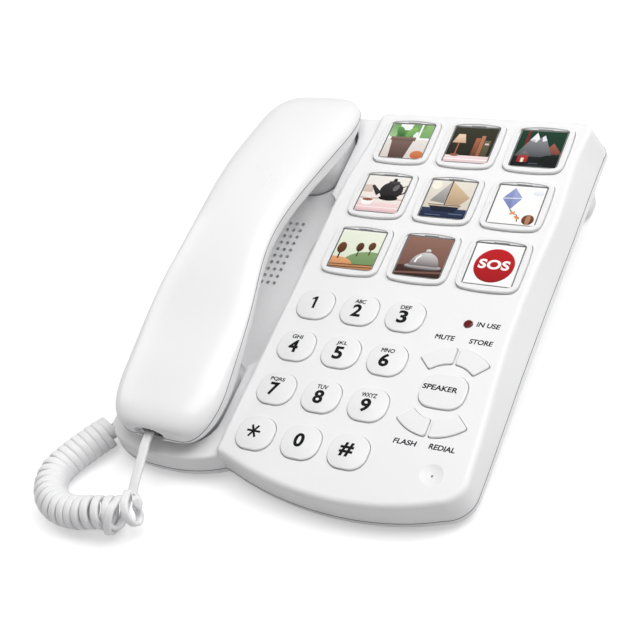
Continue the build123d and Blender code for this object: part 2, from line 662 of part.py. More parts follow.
with BuildPart() as ringer_switch:
    rear_v = 190.6 - switch_w * 4.9 / block_depth
    switch_middle = switch_u - switch_throw / 2
    with BuildSketch(across(rear_v + switch_rise)):
        with Locations((switch_middle, switch_w)):
            Rectangle(switch_length, switch_height)
    extrude(amount=switch_rise + wall + 1.6)
    with BuildSketch(across(rear_v - wall - 1.1)):
        with Locations((switch_middle, switch_w)):
            Rectangle(switch_length + 2.0, switch_height + 2.4)
    extrude(amount=switch_flange)
ringer_switch.part.label = "ringer_switch"
export_step(ringer_switch.part, "parts/ringer_switch.step")

# ---- Hook button ----
hook_top = -ear_floor - handset_rest_gap
with BuildPart() as hook_button:
    hook_foot = ear_floor - pocket_wall - 0.2 - hook_travel
    extrude(disc(deck(cradle_u, hook_v, hook_foot), hook_diameter), amount=-hook_foot - hook_top - 0.05)
    extrude(disc(deck(cradle_u, hook_v, hook_foot - hook_flange), hook_diameter + 3.0), amount=hook_flange)
    fillet(top_face(hook_button.part).edges(), 1.0)
hook_button.part.label = "hook_button"
export_step(hook_button.part, "parts/hook_button.step")

# ---- Keys ----
for name, place in dial_places.items():
    dial_key = moulded_key("dial_key_" + name, "dial", place, flange_width, dial_rise, dial_crown, dial_cavity)
    export_step(dial_key.part, "parts/dial_key_" + name + ".step")

for number, place in photo_places.items():
    photo_key = picture_key("photo_key_" + str(number), place)
    export_step(photo_key.part, "parts/photo_key_" + str(number) + ".step")
    photo_window = picture_window("photo_window_" + str(number), place)
    export_step(photo_window.part, "parts/photo_window_" + str(number) + ".step")

cluster = (cluster_u, cluster_v)
speaker_key = moulded_key("speaker_key", "speaker", cluster, flange_width, speaker_rise, cavity=speaker_cavity)
export_step(speaker_key.part, "parts/speaker_key.step")
for name, quarter in ring_keys.items():
    ring_key = moulded_key(name + "_key", quarter, cluster, ring_flange_width, ring_rise)
    export_step(ring_key.part, "parts/" + name + "_key.step")


# ---- Handset ----
stations = [0.0, 0.5, 2.0, 4.5, 8.5, 14, 21, 31, 45, 61, 75, 89, 104, 119, 135, 151, 165, 177, 187, 194, 198.5, 201, 202.3, 202.8]


def end_share(v, reach, power):
    """1 along the middle of the handset, falling to 0 at either end over the reach."""
    into = min(v - handset_front, handset_back - v)
    if into >= reach:
        return 1.0
    return max(1 - ((reach - into) / reach) ** power, 0.0) ** (1 / power)


def cross_section(v, grow):
    """Points of the rounded cross-section at v."""
    top, low = along(top_line, v), along(bottom_line, v)
    plan = nose_width_share + (1 - nose_width_share) * end_share(v, nose_radius, 2.4)
    side = nose_height_share + (1 - nose_height_share) * end_share(v, nose_height, 2.0)
    half_u = along(half_widths, v) * plan + grow
    half_w = (top - low) / 2 * side + grow
    points = []
    for i in range(20):
        c, s = cos(2 * pi * i / 20), sin(2 * pi * i / 20)
        out = copysign(abs(c) ** (2 / squareness), c)
        up = copysign(abs(s) ** (2 / squareness), s)
        points.append((handset_u + along(side_shift, v) + half_u * out, (top + low) / 2 + half_w * up))
    return points


def handset_form(grow=0.0):
    """The handset's bow-shaped body, or that body grown or shrunk all round."""
    length = handset_back - handset_front
    with BuildPart() as form:
        for station in stations:
            share = station / stations[-1]
            v = handset_front + share * length
            with BuildSketch(across(v + grow * (2 * share - 1))):
                with BuildLine():
                    Spline(*cross_section(v, grow), periodic=True)
                make_face()
        loft()
    return form.part


def handset_cap(v, floor, grow=0.0):
    """A cap at one end of the handset, standing over the cradle's floor."""
    with BuildPart() as cap:
        place = deck(handset_u, v, floor + handset_rest_gap - grow)
        extrude(
            panel(place, cap_width + 2 * grow, cap_length + 2 * grow, cap_corner + grow),
            amount=-floor + 1.0 + grow,
            taper=-cap_slope,
        )
        if not grow:
            bottom = cap.part.faces().sort_by(Axis(deck().origin, deck().z_dir))[0]
            fillet(bottom.edges(), cap_fillet)
    return cap.part


with BuildPart() as handset_solid:
    add(handset_form())
    add(handset_cap(mouth_cap_v, mouth_floor))
    add(handset_cap(ear_cap_v, ear_floor))

with BuildPart() as handset_room:
    add(handset_form(-handset_wall))
    add(handset_cap(mouth_cap_v, mouth_floor, -handset_wall))
    add(handset_cap(ear_cap_v, ear_floor, -handset_wall))


# ---- Handset shells ----
with BuildPart() as above_seam:
    with BuildSketch(lengthwise(handset_u - 40.0)):
        with BuildLine():
            Spline(*seam_line)
            Line(seam_line[-1], (seam_line[-1][0] + 9.0, 60.0))
            Line((seam_line[-1][0] + 9.0, 60.0), (seam_line[0][0] - 9.0, 60.0))
            Line((seam_line[0][0] - 9.0, 60.0), seam_line[0])
        make_face()
    extrude(amount=80.0)


def handset_rod(v, diameter, low, high):
    """A rod square to the deck on the handset's middle line."""
    with BuildPart() as rod:
        extrude(disc(deck(handset_u, v, low), diameter), amount=high - low)
    return rod.part


def jack_room(grow_u, grow_w, depth):
    """A box in the handset's nose, open to the front."""
    with BuildPart() as room:
        with BuildSketch(across(handset_jack_v - 6.0)):
            with Locations((handset_u, handset_socket_w)):
                Rectangle(socket_width + 2 * grow_u, socket_height + 2 * grow_w)
        extrude(amount=-depth - 6.0)
    return room.part


with BuildPart() as notch_form:
    with BuildSketch(across(handset_jack_v - 8.0)):
        with Locations((handset_u, handset_socket_w)):
            Ellipse(notch_half_width, notch_half_height)
    extrude(amount=-8.0)

screw_seats = [along(bottom_line, v) + 2.5 for v in handset_screw_places]
with BuildPart() as handset_hollow:
    add(handset_room.part)
    for v in handset_screw_places:
        add(handset_rod(v, handset_post_diameter, -15.0, 40.0), mode=Mode.SUBTRACT)
    add(jack_room(fit_gap, fit_gap, socket_depth))
    add(notch_form.part)

with BuildPart() as handset_upper_shell:
    add(handset_form())
    add(handset_hollow.part, mode=Mode.SUBTRACT)
    add(above_seam.part, mode=Mode.INTERSECT)
    for v in handset_screw_places:
        add(handset_rod(v, screw_diameter + 0.1, -15.0, along(top_line, v) - 2.5), mode=Mode.SUBTRACT)
handset_upper_shell.part.label = "handset_upper_shell"
export_step(handset_upper_shell.part, "parts/handset_upper_shell.step")

with BuildPart() as handset_lower_shell:
    add(handset_form(-shell_step))
    add(handset_cap(mouth_cap_v, mouth_floor))
    add(handset_cap(ear_cap_v, ear_floor))
    add(handset_hollow.part, mode=Mode.SUBTRACT)
    add(above_seam.part, mode=Mode.SUBTRACT)
    for v, seat in zip(handset_screw_places, screw_seats):
        add(handset_rod(v, screw_head + 0.6, -15.0, seat), mode=Mode.SUBTRACT)
        add(handset_rod(v, screw_diameter + 0.3, -15.0, 40.0), mode=Mode.SUBTRACT)
    # sound holes in the caps
    with BuildSketch(deck(handset_u, ear_cap_v, ear_floor - 1.0)):
        Circle(ear_hole / 2)
        with PolarLocations(ear_hole_ring, 6):
            Circle(ear_hole / 2)
    extrude(amount=5.0, mode=Mode.SUBTRACT)
    with BuildSketch(deck(handset_u, mouth_cap_v, mouth_floor - 1.0)):
        with GridLocations(4.0, 1.0, 3, 1):
            Circle(mouth_hole / 2)
    extrude(amount=5.0, mode=Mode.SUBTRACT)
handset_lower_shell.part.label = "handset_lower_shell"
export_step(handset_lower_shell.part, "parts/handset_lower_shell.step")

# ---- Inside the handset ----
with BuildPart() as handset_receiver:
    receiver_w = ear_floor + handset_rest_gap + handset_wall
    add(handset_rod(ear_cap_v, receiver_diameter, receiver_w, receiver_w + receiver_height / 2))
    add(handset_rod(ear_cap_v, receiver_diameter * 0.6, receiver_w, receiver_w + receiver_height))
handset_receiver.part.label = "handset_receiver"
export_step(handset_receiver.part, "parts/handset_receiver.step")

with BuildPart() as handset_microphone:
    mic_w = mouth_floor + handset_rest_gap + handset_wall
    add(handset_rod(mouth_cap_v, handset_mic_diameter, mic_w, mic_w + handset_mic_height))
handset_microphone.part.label = "handset_microphone"
export_step(handset_microphone.part, "parts/handset_microphone.step")

with BuildPart() as handset_screws:
    for v, seat in zip(handset_screw_places, screw_seats):
        add(handset_rod(v, screw_head, seat - screw_head_height, seat))
        add(handset_rod(v, screw_diameter, seat, along(top_line, v) - 3.5))
handset_screws.part.label = "handset_screws"
export_step(handset_screws.part, "parts/handset_screws.step")


# ---- Sockets and plugs of the handset's cord ----
def socket(plane):
    """A modular socket, its mouth on the plane and its body behind it."""
    with BuildPart() as body:
        extrude(panel(plane, socket_width, socket_height), amount=-socket_depth)
        opening = panel(plane, plug_width + 2 * fit_gap, plug_height + 2 * fit_gap)
        extrude(opening, amount=-plug_length, mode=Mode.SUBTRACT)
    return body


def plug(plane, reach):
    """A modular plug in a socket whose mouth is on the plane, standing out of it by its reach."""
    with BuildPart() as body:
        outer_end = plane.offset(reach)
        extrude(panel(outer_end, plug_width, plug_height), amount=-plug_length)
        fillet(body.edges().filter_by(Axis(plane.origin, plane.z_dir)), 0.4)
    return body


nose_plane = across(handset_jack_v)
nose_mouth = Plane(
    origin=deck(handset_u, handset_jack_v, handset_socket_w).origin, x_dir=(1, 0, 0), z_dir=nose_plane.z_dir
)
side_mouth = Plane(
    origin=deck(socket_face, base_socket_v, base_socket_w).origin, x_dir=lengthwise(0).x_dir, z_dir=(-1, 0, 0)
)
fittings = {
    "handset_jack": socket(nose_mouth),
    "handset_cord_plug": plug(nose_mouth, handset_plug_reach),
    "handset_jack_socket": socket(side_mouth),
    "base_cord_plug": plug(side_mouth, base_plug_reach),
}
for name, fitting in fittings.items():
    fitting.part.label = name
    export_step(fitting.part, "parts/" + name + ".step")


# ---- The handset's cord ----
def cord_point(x, y, z):
    """A point over the table, x and y from the star key."""
    return Vector(star_x + x, star_y + y, z)


coil_z = coil_diameter / 2 + 0.1
coil_route = [
    cord_point(-83.2, -8.2, coil_z),
    cord_point(-89.7, -19.5, coil_z),
    cord_point(-96.5, -36.0, coil_z),
    cord_point(-84.8, -51.0, coil_z),
    cord_point(-64.5, -50.9, coil_z),
    cord_point(-42.0, -45.5, coil_z),
]
plug_out = deck(handset_u, handset_jack_v - handset_plug_reach, handset_socket_w).origin
handset_lead_route = [
    plug_out,
    deck(handset_u, handset_jack_v - handset_plug_reach - 5.0, handset_socket_w).origin,
    cord_point(-46.0, -25.6, 20.0),
    cord_point(-44.6, -40.0, 14.7),
    cord_point(-46.5, -46.8, coil_z),
]
base_plug_out = deck(socket_face - base_plug_reach, base_socket_v, base_socket_w).origin
turn_out = base_plug_out - Vector(6.5, 0, 0)
base_lead_route = [
    coil_route[0],
    cord_point(-80.2, -3.0, coil_z),
    cord_point(-81.5, 8.5, coil_z),
    cord_point(-84.0, 29.0, 10.0),
    turn_out - Vector(0.5, 10.0, 3.2),
    turn_out,
    base_plug_out,
]


def bend_radii(route):
    """A radius for every bend: as wide as the shorter of its two runs allows."""
    radii = []
    for before, here, after in zip(route, route[1:], route[2:]):
        run_in, run_out = here - before, after - here
        turn = radians(run_in.get_angle(run_out))
        radii.append(0.45 * min(run_in.length, run_out.length) / tan(turn / 2))
    return radii


def cord(name, route, diameter):
    """A round cord along a route of straight runs joined by tangent bends."""
    radii = bend_radii(route)
    print(name, "radii", [round(radius, 1) for radius in radii])
    with BuildPart() as tube:
        with BuildLine() as path:
            FilletPolyline(*route, radius=radii)
        with BuildSketch(path.line ^ 0):
            Circle(diameter / 2)
        sweep()
    tube.part.label = name
    export_step(tube.part, "parts/" + name + ".step")
    return tube


handset_cord_coil = cord("handset_cord_coil", coil_route, coil_diameter)
handset_cord_lead = cord("handset_cord_lead", handset_lead_route, lead_diameter)
base_cord_lead = cord("base_cord_lead", base_lead_route, lead_diameter)


# ---- Stand and feet ----
def stand_form(inset, low):
    """The tapered block of the stand, or its hollow, from a height up."""
    width, length = stand_right - stand_left, stand_rear - stand_front
    middle = (star_x + (stand_right + stand_left) / 2, star_y + (stand_front + stand_rear) / 2, low)
    with BuildPart() as form:
        with BuildSketch(Plane(origin=middle)) as base:
            Rectangle(width - 2 * inset, length - 2 * inset)
            corners = base.vertices().sort_by(Axis.Y)
            fillet(corners[:2], max(stand_front_corner - inset, 1.0))
            fillet(base.vertices().sort_by(Axis.Y)[-2:], stand_rear_corner - inset)
        extrude(amount=stand_height)
    return form.part


with BuildPart() as desk_stand:
    add(stand_form(0.0, foot_height))
    add(stand_form(stand_wall, foot_height + stand_wall), mode=Mode.SUBTRACT)
    add(slab(-60.0, 0.0), mode=Mode.INTERSECT)
desk_stand.part.label = "desk_stand"
export_step(desk_stand.part, "parts/desk_stand.step")

with BuildPart() as rubber_feet:
    front_y = star_y + front_foot_v
    for x in (star_x + front_foot_u, star_x + front_foot_left_u):
        with BuildSketch(Plane(origin=(x, front_y, 0))):
            Circle(foot_diameter / 2)
        extrude(amount=20.0)
    add(slab(-60.0, 0.0), mode=Mode.INTERSECT)
    rear_y = star_y + (stand_front + stand_rear) / 2
    for x in (star_x + stand_left + rear_foot_inset, star_x + stand_right - rear_foot_inset):
        with BuildSketch(Plane(origin=(x, rear_y, 0))):
            Circle(foot_diameter / 2)
        extrude(amount=foot_height)
rubber_feet.part.label = "rubber_feet"
export_step(rubber_feet.part, "parts/rubber_feet.step")
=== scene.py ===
# %% [markdown]
# # A corded desk telephone with large keys and picture keys
#
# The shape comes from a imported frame, one object for each real part. Each part sits at the
# origin with its place in its mesh, in metres. This file gives the parts their finishes and
# adds what a frame of rigid parts can't hold: the coiled cord, the printing, the picture cards
# and the small metal contacts. It can be run from top to bottom, cell by cell.

from math import atan2, ceil, cos, pi, radians, sin

import bmesh
import bpy
from mathutils import Matrix, Vector
from mathutils.bvhtree import BVHTree


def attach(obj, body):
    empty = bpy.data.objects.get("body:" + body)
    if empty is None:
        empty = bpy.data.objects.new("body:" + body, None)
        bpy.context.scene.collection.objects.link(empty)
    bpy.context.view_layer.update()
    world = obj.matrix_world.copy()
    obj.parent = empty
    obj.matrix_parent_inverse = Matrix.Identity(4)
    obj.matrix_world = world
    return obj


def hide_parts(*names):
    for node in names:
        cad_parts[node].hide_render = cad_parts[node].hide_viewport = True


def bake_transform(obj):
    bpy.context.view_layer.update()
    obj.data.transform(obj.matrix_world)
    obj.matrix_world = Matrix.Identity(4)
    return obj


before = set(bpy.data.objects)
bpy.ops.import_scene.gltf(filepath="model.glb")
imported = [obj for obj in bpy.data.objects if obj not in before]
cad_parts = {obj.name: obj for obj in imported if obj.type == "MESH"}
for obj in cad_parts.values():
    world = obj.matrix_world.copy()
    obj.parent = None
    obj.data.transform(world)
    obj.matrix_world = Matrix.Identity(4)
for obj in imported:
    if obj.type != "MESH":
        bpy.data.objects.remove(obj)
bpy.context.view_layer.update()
scene = bpy.context.scene
mm = 0.001
print("parts in the frame:", len(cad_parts))

# %% [markdown]
# ## Camera
#
# The telephone is seen from its front right corner, from above, with the picture rolled a
# little. A lens of about 67 mm keeps the perspective calm.
# Blender's camera looks along its own -Z, so three angles and a place are enough.

# %% Camera
def put(name, data):
    """A new object in the scene."""
    thing = bpy.data.objects.new(name, data)
    scene.collection.objects.link(thing)
    return thing


camera_lens = bpy.data.cameras.new("camera")
camera_lens.lens = 67.16
camera_lens.sensor_width = 36.0
camera = put("camera", camera_lens)
camera.location = Vector((249.15, -337.7, 387.2)) * mm
camera.rotation_euler = [radians(angle) for angle in (46.66, 15.01, 25.53)]
scene.camera = camera
print("camera at", [round(value, 3) for value in camera.location])

# %% [markdown]
# ## Deck coordinates
#
# The face with the keys slopes, so places on it are easiest to give in its own directions:
# u to the right, v up the slope and w out of it, in millimetres from the middle of the star
# key. One small function turns them into a point of the scene.

# %% Deck coordinates
deck_tilt = radians(9.0)
star = Vector((-11.05, -86.7, 21.0)) * mm
deck_right = Vector((1, 0, 0))
deck_up = Vector((0, cos(deck_tilt), sin(deck_tilt)))
deck_out = Vector((0, -sin(deck_tilt), cos(deck_tilt)))


def deck(u, v, w=0.0):
    """A point of the scene, from deck coordinates in millimetres."""
    return star + (deck_right * u + deck_up * v + deck_out * w) * mm


print("deck's normal:", [round(value, 3) for value in deck_out])

# %% [markdown]
# ## The line of the cord
#
# A handset cord is one cord: a flat lead out of the telephone's left side, a tight coil, and a
# flat lead into the handset. Its middle line is a NURBS curve, which bends smoothly between a
# few points. The order and the end rule are set after the points are there, because an empty
# spline falls back to straight runs. The curve is then read back as a mesh, which gives a row
# of points along it.

# %% Route of the cord
coil_height, route_steps = 8.1, 48


def from_star(x, y, z):
    """A point over the table, x and y in millimetres from the star key."""
    return Vector((star.x + x * mm, star.y + y * mm, z * mm))


base_plug_mouth = deck(-79.4, 52.0, -9.6)
handset_plug_mouth = deck(-47.0, -11.6, 5.4)
coil_route = [
    from_star(-83.2, -8.2, coil_height),
    from_star(-89.7, -19.5, coil_height),
    from_star(-96.5, -36.0, coil_height),
    from_star(-84.8, -51.0, coil_height),
    from_star(-64.5, -50.9, coil_height),
    from_star(-42.0, -45.5, coil_height),
]
turn_out = base_plug_mouth - Vector((6.5, 0, 0)) * mm
base_lead = [
    base_plug_mouth,
    turn_out,
    turn_out - Vector((0.5, 10.0, 3.2)) * mm,
    from_star(-84.0, 29.0, 10.0),
    from_star(-81.5, 8.5, coil_height),
    from_star(-80.2, -3.0, coil_height),
]
handset_lead = [
    from_star(-44.6, -40.0, 14.7),
    from_star(-46.0, -25.6, 20.0),
    deck(-47.0, -16.6, 5.4),
    handset_plug_mouth,
]
cord_route = base_lead + coil_route + handset_lead


def plain_mesh(carrier, name):
    """What an object shows after its modifiers, as a plain mesh; the object goes."""
    evaluated = carrier.evaluated_get(bpy.context.evaluated_depsgraph_get())
    mesh = bpy.data.meshes.new_from_object(evaluated)
    mesh.name = name
    bpy.data.objects.remove(carrier)
    return mesh


def smooth_line(points, steps):
    """Points along a NURBS curve that is led by the points given."""
    curve = bpy.data.curves.new("cord_route", "CURVE")
    curve.dimensions = "3D"
    spline = curve.splines.new("NURBS")
    spline.points.add(len(points) - 1)
    for knot, point in zip(spline.points, points):
        knot.co = (*point, 1.0)
    spline.order_u = 3
    spline.use_endpoint_u = True
    spline.resolution_u = steps
    carrier = put("cord_route", curve)
    read = plain_mesh(carrier, "cord_route")
    line = [vertex.co.copy() for vertex in read.vertices]
    bpy.data.curves.remove(curve)
    bpy.data.meshes.remove(read)
    return line


def lengths_along(line):
    """The distance from the start of a line to each of its points."""
    total = [0.0]
    for here, there in zip(line, line[1:]):
        total.append(total[-1] + (there - here).length)
    return total


middle_line = smooth_line(cord_route, route_steps)
middle_lengths = lengths_along(middle_line)
print("route:", len(middle_line), "points,", round(middle_lengths[-1] / mm, 1), "mm")

# %% [markdown]
# ## The coil
#
# Along the coil the cord runs round the middle line. A loop walks the line, turns an arm of
# the coil's radius round it, and so gives the cord's own path. The arm grows from nothing
# over the first turn and shrinks within the last, so that the leads run into the coil. The path
# is far longer than the coil, which is what lets a real one stretch. One turn near the end is
# thrown back over its neighbours. It is wider than they are, so it lies outside them, and the
# last turns are drawn apart and lifted.

# %% Path of the cord
coil_turns = 24.6
coil_radius = 6.6 * mm
coil_slack = 0.06  # how much closer the turns lie at the telephone's end than at the other
thrown_turn, thrown_back = 22.95, 8.5 * mm  # where the turn starts that lies over the others
thrown_out, thrown_lift = 2.1 * mm, 2.3 * mm
drawn_out = 6.0 * mm  # how far the last turns are drawn apart
points_per_turn = 28
lead_width, lead_thickness = 4.4 * mm, 2.0 * mm
coil_cord_width = 3.6 * mm
base_lead_points, handset_lead_points = 60, 40
coil_end_heading = 0.88  # the coil ends where its line last points this far right
turn_finish = 4  # the last turn closes over a quarter of the handset's lead
arm_grows, arm_shrinks = 1.2, 0.25  # turns over which the arm comes and goes
thrown_ease = 0.16  # turns over which the thrown turn leaves its place and comes back
drawn_before, drawn_after = 26 * mm, 12 * mm  # before and after the coil's end
drawn_rise = 10 * mm  # over which they are lifted


def walk(line, lengths, count):
    """Evenly spaced points along a line, with the direction at each."""
    placed, i = [], 0
    for step in range(count + 1):
        target = lengths[-1] * step / count
        while i < len(lengths) - 2 and lengths[i + 1] < target:
            i += 1
        share = (target - lengths[i]) / max(lengths[i + 1] - lengths[i], 1e-9)
        point = line[i].lerp(line[i + 1], min(max(share, 0.0), 1.0))
        placed.append((point, (line[i + 1] - line[i]).normalized()))
    return placed


def ease(share):
    """0 to 1 with a soft start and end."""
    share = min(max(share, 0.0), 1.0)
    return share * share * (3 - 2 * share)


coil_start = min(range(len(middle_line)), key=lambda i: (middle_line[i] - base_lead[-1]).length)
headings = [(there - here).normalized().x for here, there in zip(middle_line, middle_line[1:])]
coil_end = max(i for i, heading in enumerate(headings) if heading > coil_end_heading)
drawn_start = middle_lengths[coil_end] - drawn_before
drawn_end = middle_lengths[coil_end] + drawn_after
cord_path, cord_flat, cord_widths = [], [], []
for first, last, count, turns in (
    (0, coil_start, base_lead_points, 0),
    (coil_start, coil_end, round(coil_turns * points_per_turn), coil_turns),
    (coil_end, len(middle_line) - 1, handset_lead_points, 0),
):
    run = middle_line[first:last + 1]
    placed = walk(run, lengths_along(run), count)
    for step, (point, direction) in enumerate(placed[1:] if cord_path else placed):
        side = direction.cross(Vector((0, 0, 1))).normalized()
        upward = side.cross(direction).normalized()
        share = (step + 1) / count if cord_path else step / count
        grown, shrunk = ease(share * turns / arm_grows), ease((1 - share) * turns / arm_shrinks)
        arm = grown * shrunk
        turned = turns * share * (1 + coil_slack * (1 - share))
        if first == coil_end:
            turned = coil_turns + (ceil(coil_turns) - coil_turns) * ease(share * turn_finish)
        outward = upward * cos(2 * pi * turned) + side * sin(2 * pi * turned)
        thrown = turned - thrown_turn
        over = ease(thrown / thrown_ease) * ease((1 - thrown) / thrown_ease)
        back = sin(pi * min(max(thrown, 0.0), 1.0)) ** 2
        along = middle_lengths[first] + share * (middle_lengths[last] - middle_lengths[first])
        slack_end = ease((drawn_end - along) / drawn_after)
        drawn = ease((along - drawn_start) / drawn_before) * slack_end
        lift = ease((along - drawn_start) / drawn_rise) * slack_end
        centre = point + direction * (drawn_out * drawn - thrown_back * back)
        centre += Vector((0, 0, thrown_lift * lift))
        cord_path.append(centre + outward * (coil_radius * arm + thrown_out * over))
        cord_flat.append(outward)
        cord_widths.append(lead_width + (coil_cord_width - lead_width) * arm)
    if last == coil_end:
        coiled = len(cord_path)
cord_length = lengths_along(cord_path)[-1]
print("cord:", round(cord_length, 3), "m in", len(cord_path), "points, coil of", coil_turns, "turns")

# %% [markdown]
# ## The cord as a tube
#
# A handset cord is flat, with rounded edges, and lies flat on the coil. So each ring of the
# tube is a rounded oblong, with its wide side along the coil and its thin side pointing out of
# it. The rings are joined by faces, and both ends are closed. Each ring also notes how far
# along the cord it is, as a UV map that the finish can follow.

# %% Tube of the cord
ring_points = 14
wide_fullness, thin_fullness = 0.55, 0.6  # 1 gives a plain oval, less a fuller one


def oblong(width, thickness):
    """Points of a flat oval with full edges, as pairs across and out of the cord."""
    outline = []
    for i in range(ring_points):
        angle = 2 * pi * i / ring_points
        across = abs(cos(angle)) ** wide_fullness * (1 if cos(angle) >= 0 else -1)
        out = abs(sin(angle)) ** thin_fullness * (1 if sin(angle) >= 0 else -1)
        outline.append((across * width / 2, out * thickness / 2))
    return outline


def mesh_of(shape, name):
    """What has been built, as a mesh of this name; the workpiece goes."""
    mesh = bpy.data.meshes.new(name)
    shape.to_mesh(mesh)
    shape.free()
    return mesh


def tube(name, path, flats, widths, thickness):
    """A closed flat tube along a path, with a UV map of place along and round it."""
    shape = bmesh.new()
    layer = shape.loops.layers.uv.new("along")
    rings = []
    for i, point in enumerate(path):
        direction = (path[min(i + 1, len(path) - 1)] - path[max(i - 1, 0)]).normalized()
        out = (flats[i] - direction * flats[i].dot(direction)).normalized()
        wide = direction.cross(out)
        corners = oblong(widths[i], thickness)
        rings.append([shape.verts.new(point + wide * a + out * b) for a, b in corners])
    lengths = lengths_along(path)
    for i, (near, far) in enumerate(zip(rings, rings[1:])):
        for k in range(ring_points):
            after = (k + 1) % ring_points
            face = shape.faces.new((near[k], near[after], far[after], far[k]))
            face.smooth = True
            places = ((i, k), (i, k + 1), (i + 1, k + 1), (i + 1, k))
            for loop, (row, column) in zip(face.loops, places):
                loop[layer].uv = (lengths[row], column / ring_points)
    shape.faces.new(reversed(rings[0]))
    shape.faces.new(rings[-1])
    bmesh.ops.recalc_face_normals(shape, faces=shape.faces)
    return mesh_of(shape, name)


coil_span, lead_span = slice(0, coiled), slice(coiled - 1, len(cord_path))
coil_mesh, lead_mesh = (
    tube(name, cord_path[span], cord_flat[span], cord_widths[span], lead_thickness)
    for name, span in (("handset_cord", coil_span), ("handset_cord_end", lead_span))
)
print("cord meshes:", len(coil_mesh.polygons), "and", len(lead_mesh.polygons), "faces")

# %% [markdown]
# ## Shader maths as plain expressions
#
# A finish is a small network of nodes. Wiring each Math node by hand is long and hard to read,
# so a Reading wraps a socket and lets + - * build the nodes. A Finish holds the material. Its
# method node makes any other node, from its settings and then its sockets, and the rest are
# short names for what nearly every finish has.

# %% Readings and finishes
class Reading:
    """A socket's value that can be used in arithmetic."""

    def __init__(self, finish, socket):
        self.finish = finish
        self.socket = socket

    def maths(self, operation, first, second):
        return self.finish.node("ShaderNodeMath", {"operation": operation}, {0: first, 1: second})

    def __add__(self, other):
        return self.maths("ADD", self, other)

    def __sub__(self, other):
        return self.maths("SUBTRACT", self, other)

    def __rsub__(self, other):
        return self.maths("SUBTRACT", other, self)

    def __mul__(self, other):
        return self.maths("MULTIPLY", self, other)

    __radd__ = __add__
    __rmul__ = __mul__


class Finish:
    """A material, or the world, built from nodes."""

    def __init__(self, name, world=None):
        self.material = world or bpy.data.materials.new(name)
        self.material.use_nodes = True
        self.tree = self.material.node_tree
        self.tree.nodes.clear()

    def node(self, kind, settings=None, sockets=None, output=0):
        """A node with its settings and sockets, as the reading of one of its outputs."""
        node = self.tree.nodes.new(kind)
        for name, value in (settings or {}).items():
            setattr(node, name, value)
        for name, value in (sockets or {}).items():
            if isinstance(value, Reading):
                self.tree.links.new(value.socket, node.inputs[name])
            else:
                node.inputs[name].default_value = value
        return Reading(self, node.outputs[output]) if len(node.outputs) else None

    def blend(self, share, low, high, way="MIX"):
        """A colour between two, by a share from 0 to 1."""
        low, high = ((*c, 1.0) if isinstance(c, tuple) else c for c in (low, high))
        settings = {"data_type": "RGBA", "blend_type": way}
        return self.node("ShaderNodeMix", settings, {0: share, 6: low, 7: high}, output=2)

    def noise(self, scale, detail=3.0, place=None, **more):
        """A noise over the object's own coordinates, or over another place."""
        place = place or self.node("ShaderNodeTexCoord", output="Object")
        inputs = {"Vector": place, "Scale": scale, "Detail": detail, **more}
        return self.node("ShaderNodeTexNoise", {}, inputs)

    def bump(self, height, distance, strength=0.5):
        """The relief that a height gives."""
        inputs = {"Height": height, "Distance": distance, "Strength": strength}
        return self.node("ShaderNodeBump", {}, inputs)

    def surface(self, **sockets):
        """Ends the network in the standard surface."""
        named = {name.replace("_", " "): value for name, value in sockets.items()}
        skin = self.node("ShaderNodeBsdfPrincipled", {}, named)
        self.node("ShaderNodeOutputMaterial", {}, {"Surface": skin})
        return self.material


def paint(red, green, blue):
    """A colour as the eye names it, 0 to 255, as the linear light that Blender counts in."""
    return tuple(
        value / 255 / 12.92 if value <= 10 else ((value / 255 + 0.055) / 1.055) ** 2.4
        for value in (red, green, blue)
    )


print("white of the housing:", [round(value, 3) for value in paint(237, 237, 238)])

# %% [markdown]
# ## Moulded white plastic
#
# The housings, the handset and the keys are moulded in white ABS. The mould's spark-eroded
# texture gives the housing a fine satin grain, while the handset and the keys are polished
# smoother. One function makes them all. A fine noise gives the grain's bump and a broad one
# lets the white and the gloss drift slightly, as handling does. Noise reads Object coordinates
# in metres, so its scale is one over the size of a speck.

# %% Moulded plastics
def moulded(name, white, worn, gloss, speck, depth, coat=0.0):
    """White plastic with a moulded grain of a given speck size and depth, in metres."""
    finish = Finish(name)
    grain, drift = finish.noise(1 / speck, 2.0, Roughness=0.6), finish.noise(16.0)
    colour = finish.blend(drift * 1.4 - 0.2, paint(*worn), paint(*white))
    roughness = gloss + (drift - 0.5) * 0.10 + (grain - 0.5) * 0.06
    return finish.surface(
        Base_Color=colour,
        Roughness=roughness,
        Normal=finish.bump(grain, depth),
        Coat_Weight=coat,
        Coat_Roughness=0.12,
        IOR=1.5,
    )


housing_white = moulded(
    "housing_white", (237, 237, 238), (233, 233, 234), 0.42, speck=0.35 * mm, depth=0.02 * mm
)
# The handset's white is set a little lighter than the housing's: partly painted light, for the stronger
# light on the handset, and partly a whiter plastic.
handset_white = moulded(
    "handset_white", (243, 243, 244), (240, 240, 241), 0.30, speck=0.6 * mm, depth=0.006 * mm, coat=0.15
)
key_white = moulded(
    "key_white", (236, 236, 236), (232, 232, 233), 0.34, speck=0.4 * mm, depth=0.008 * mm, coat=0.1
)
print("plastics:", housing_white.name, handset_white.name, key_white.name)
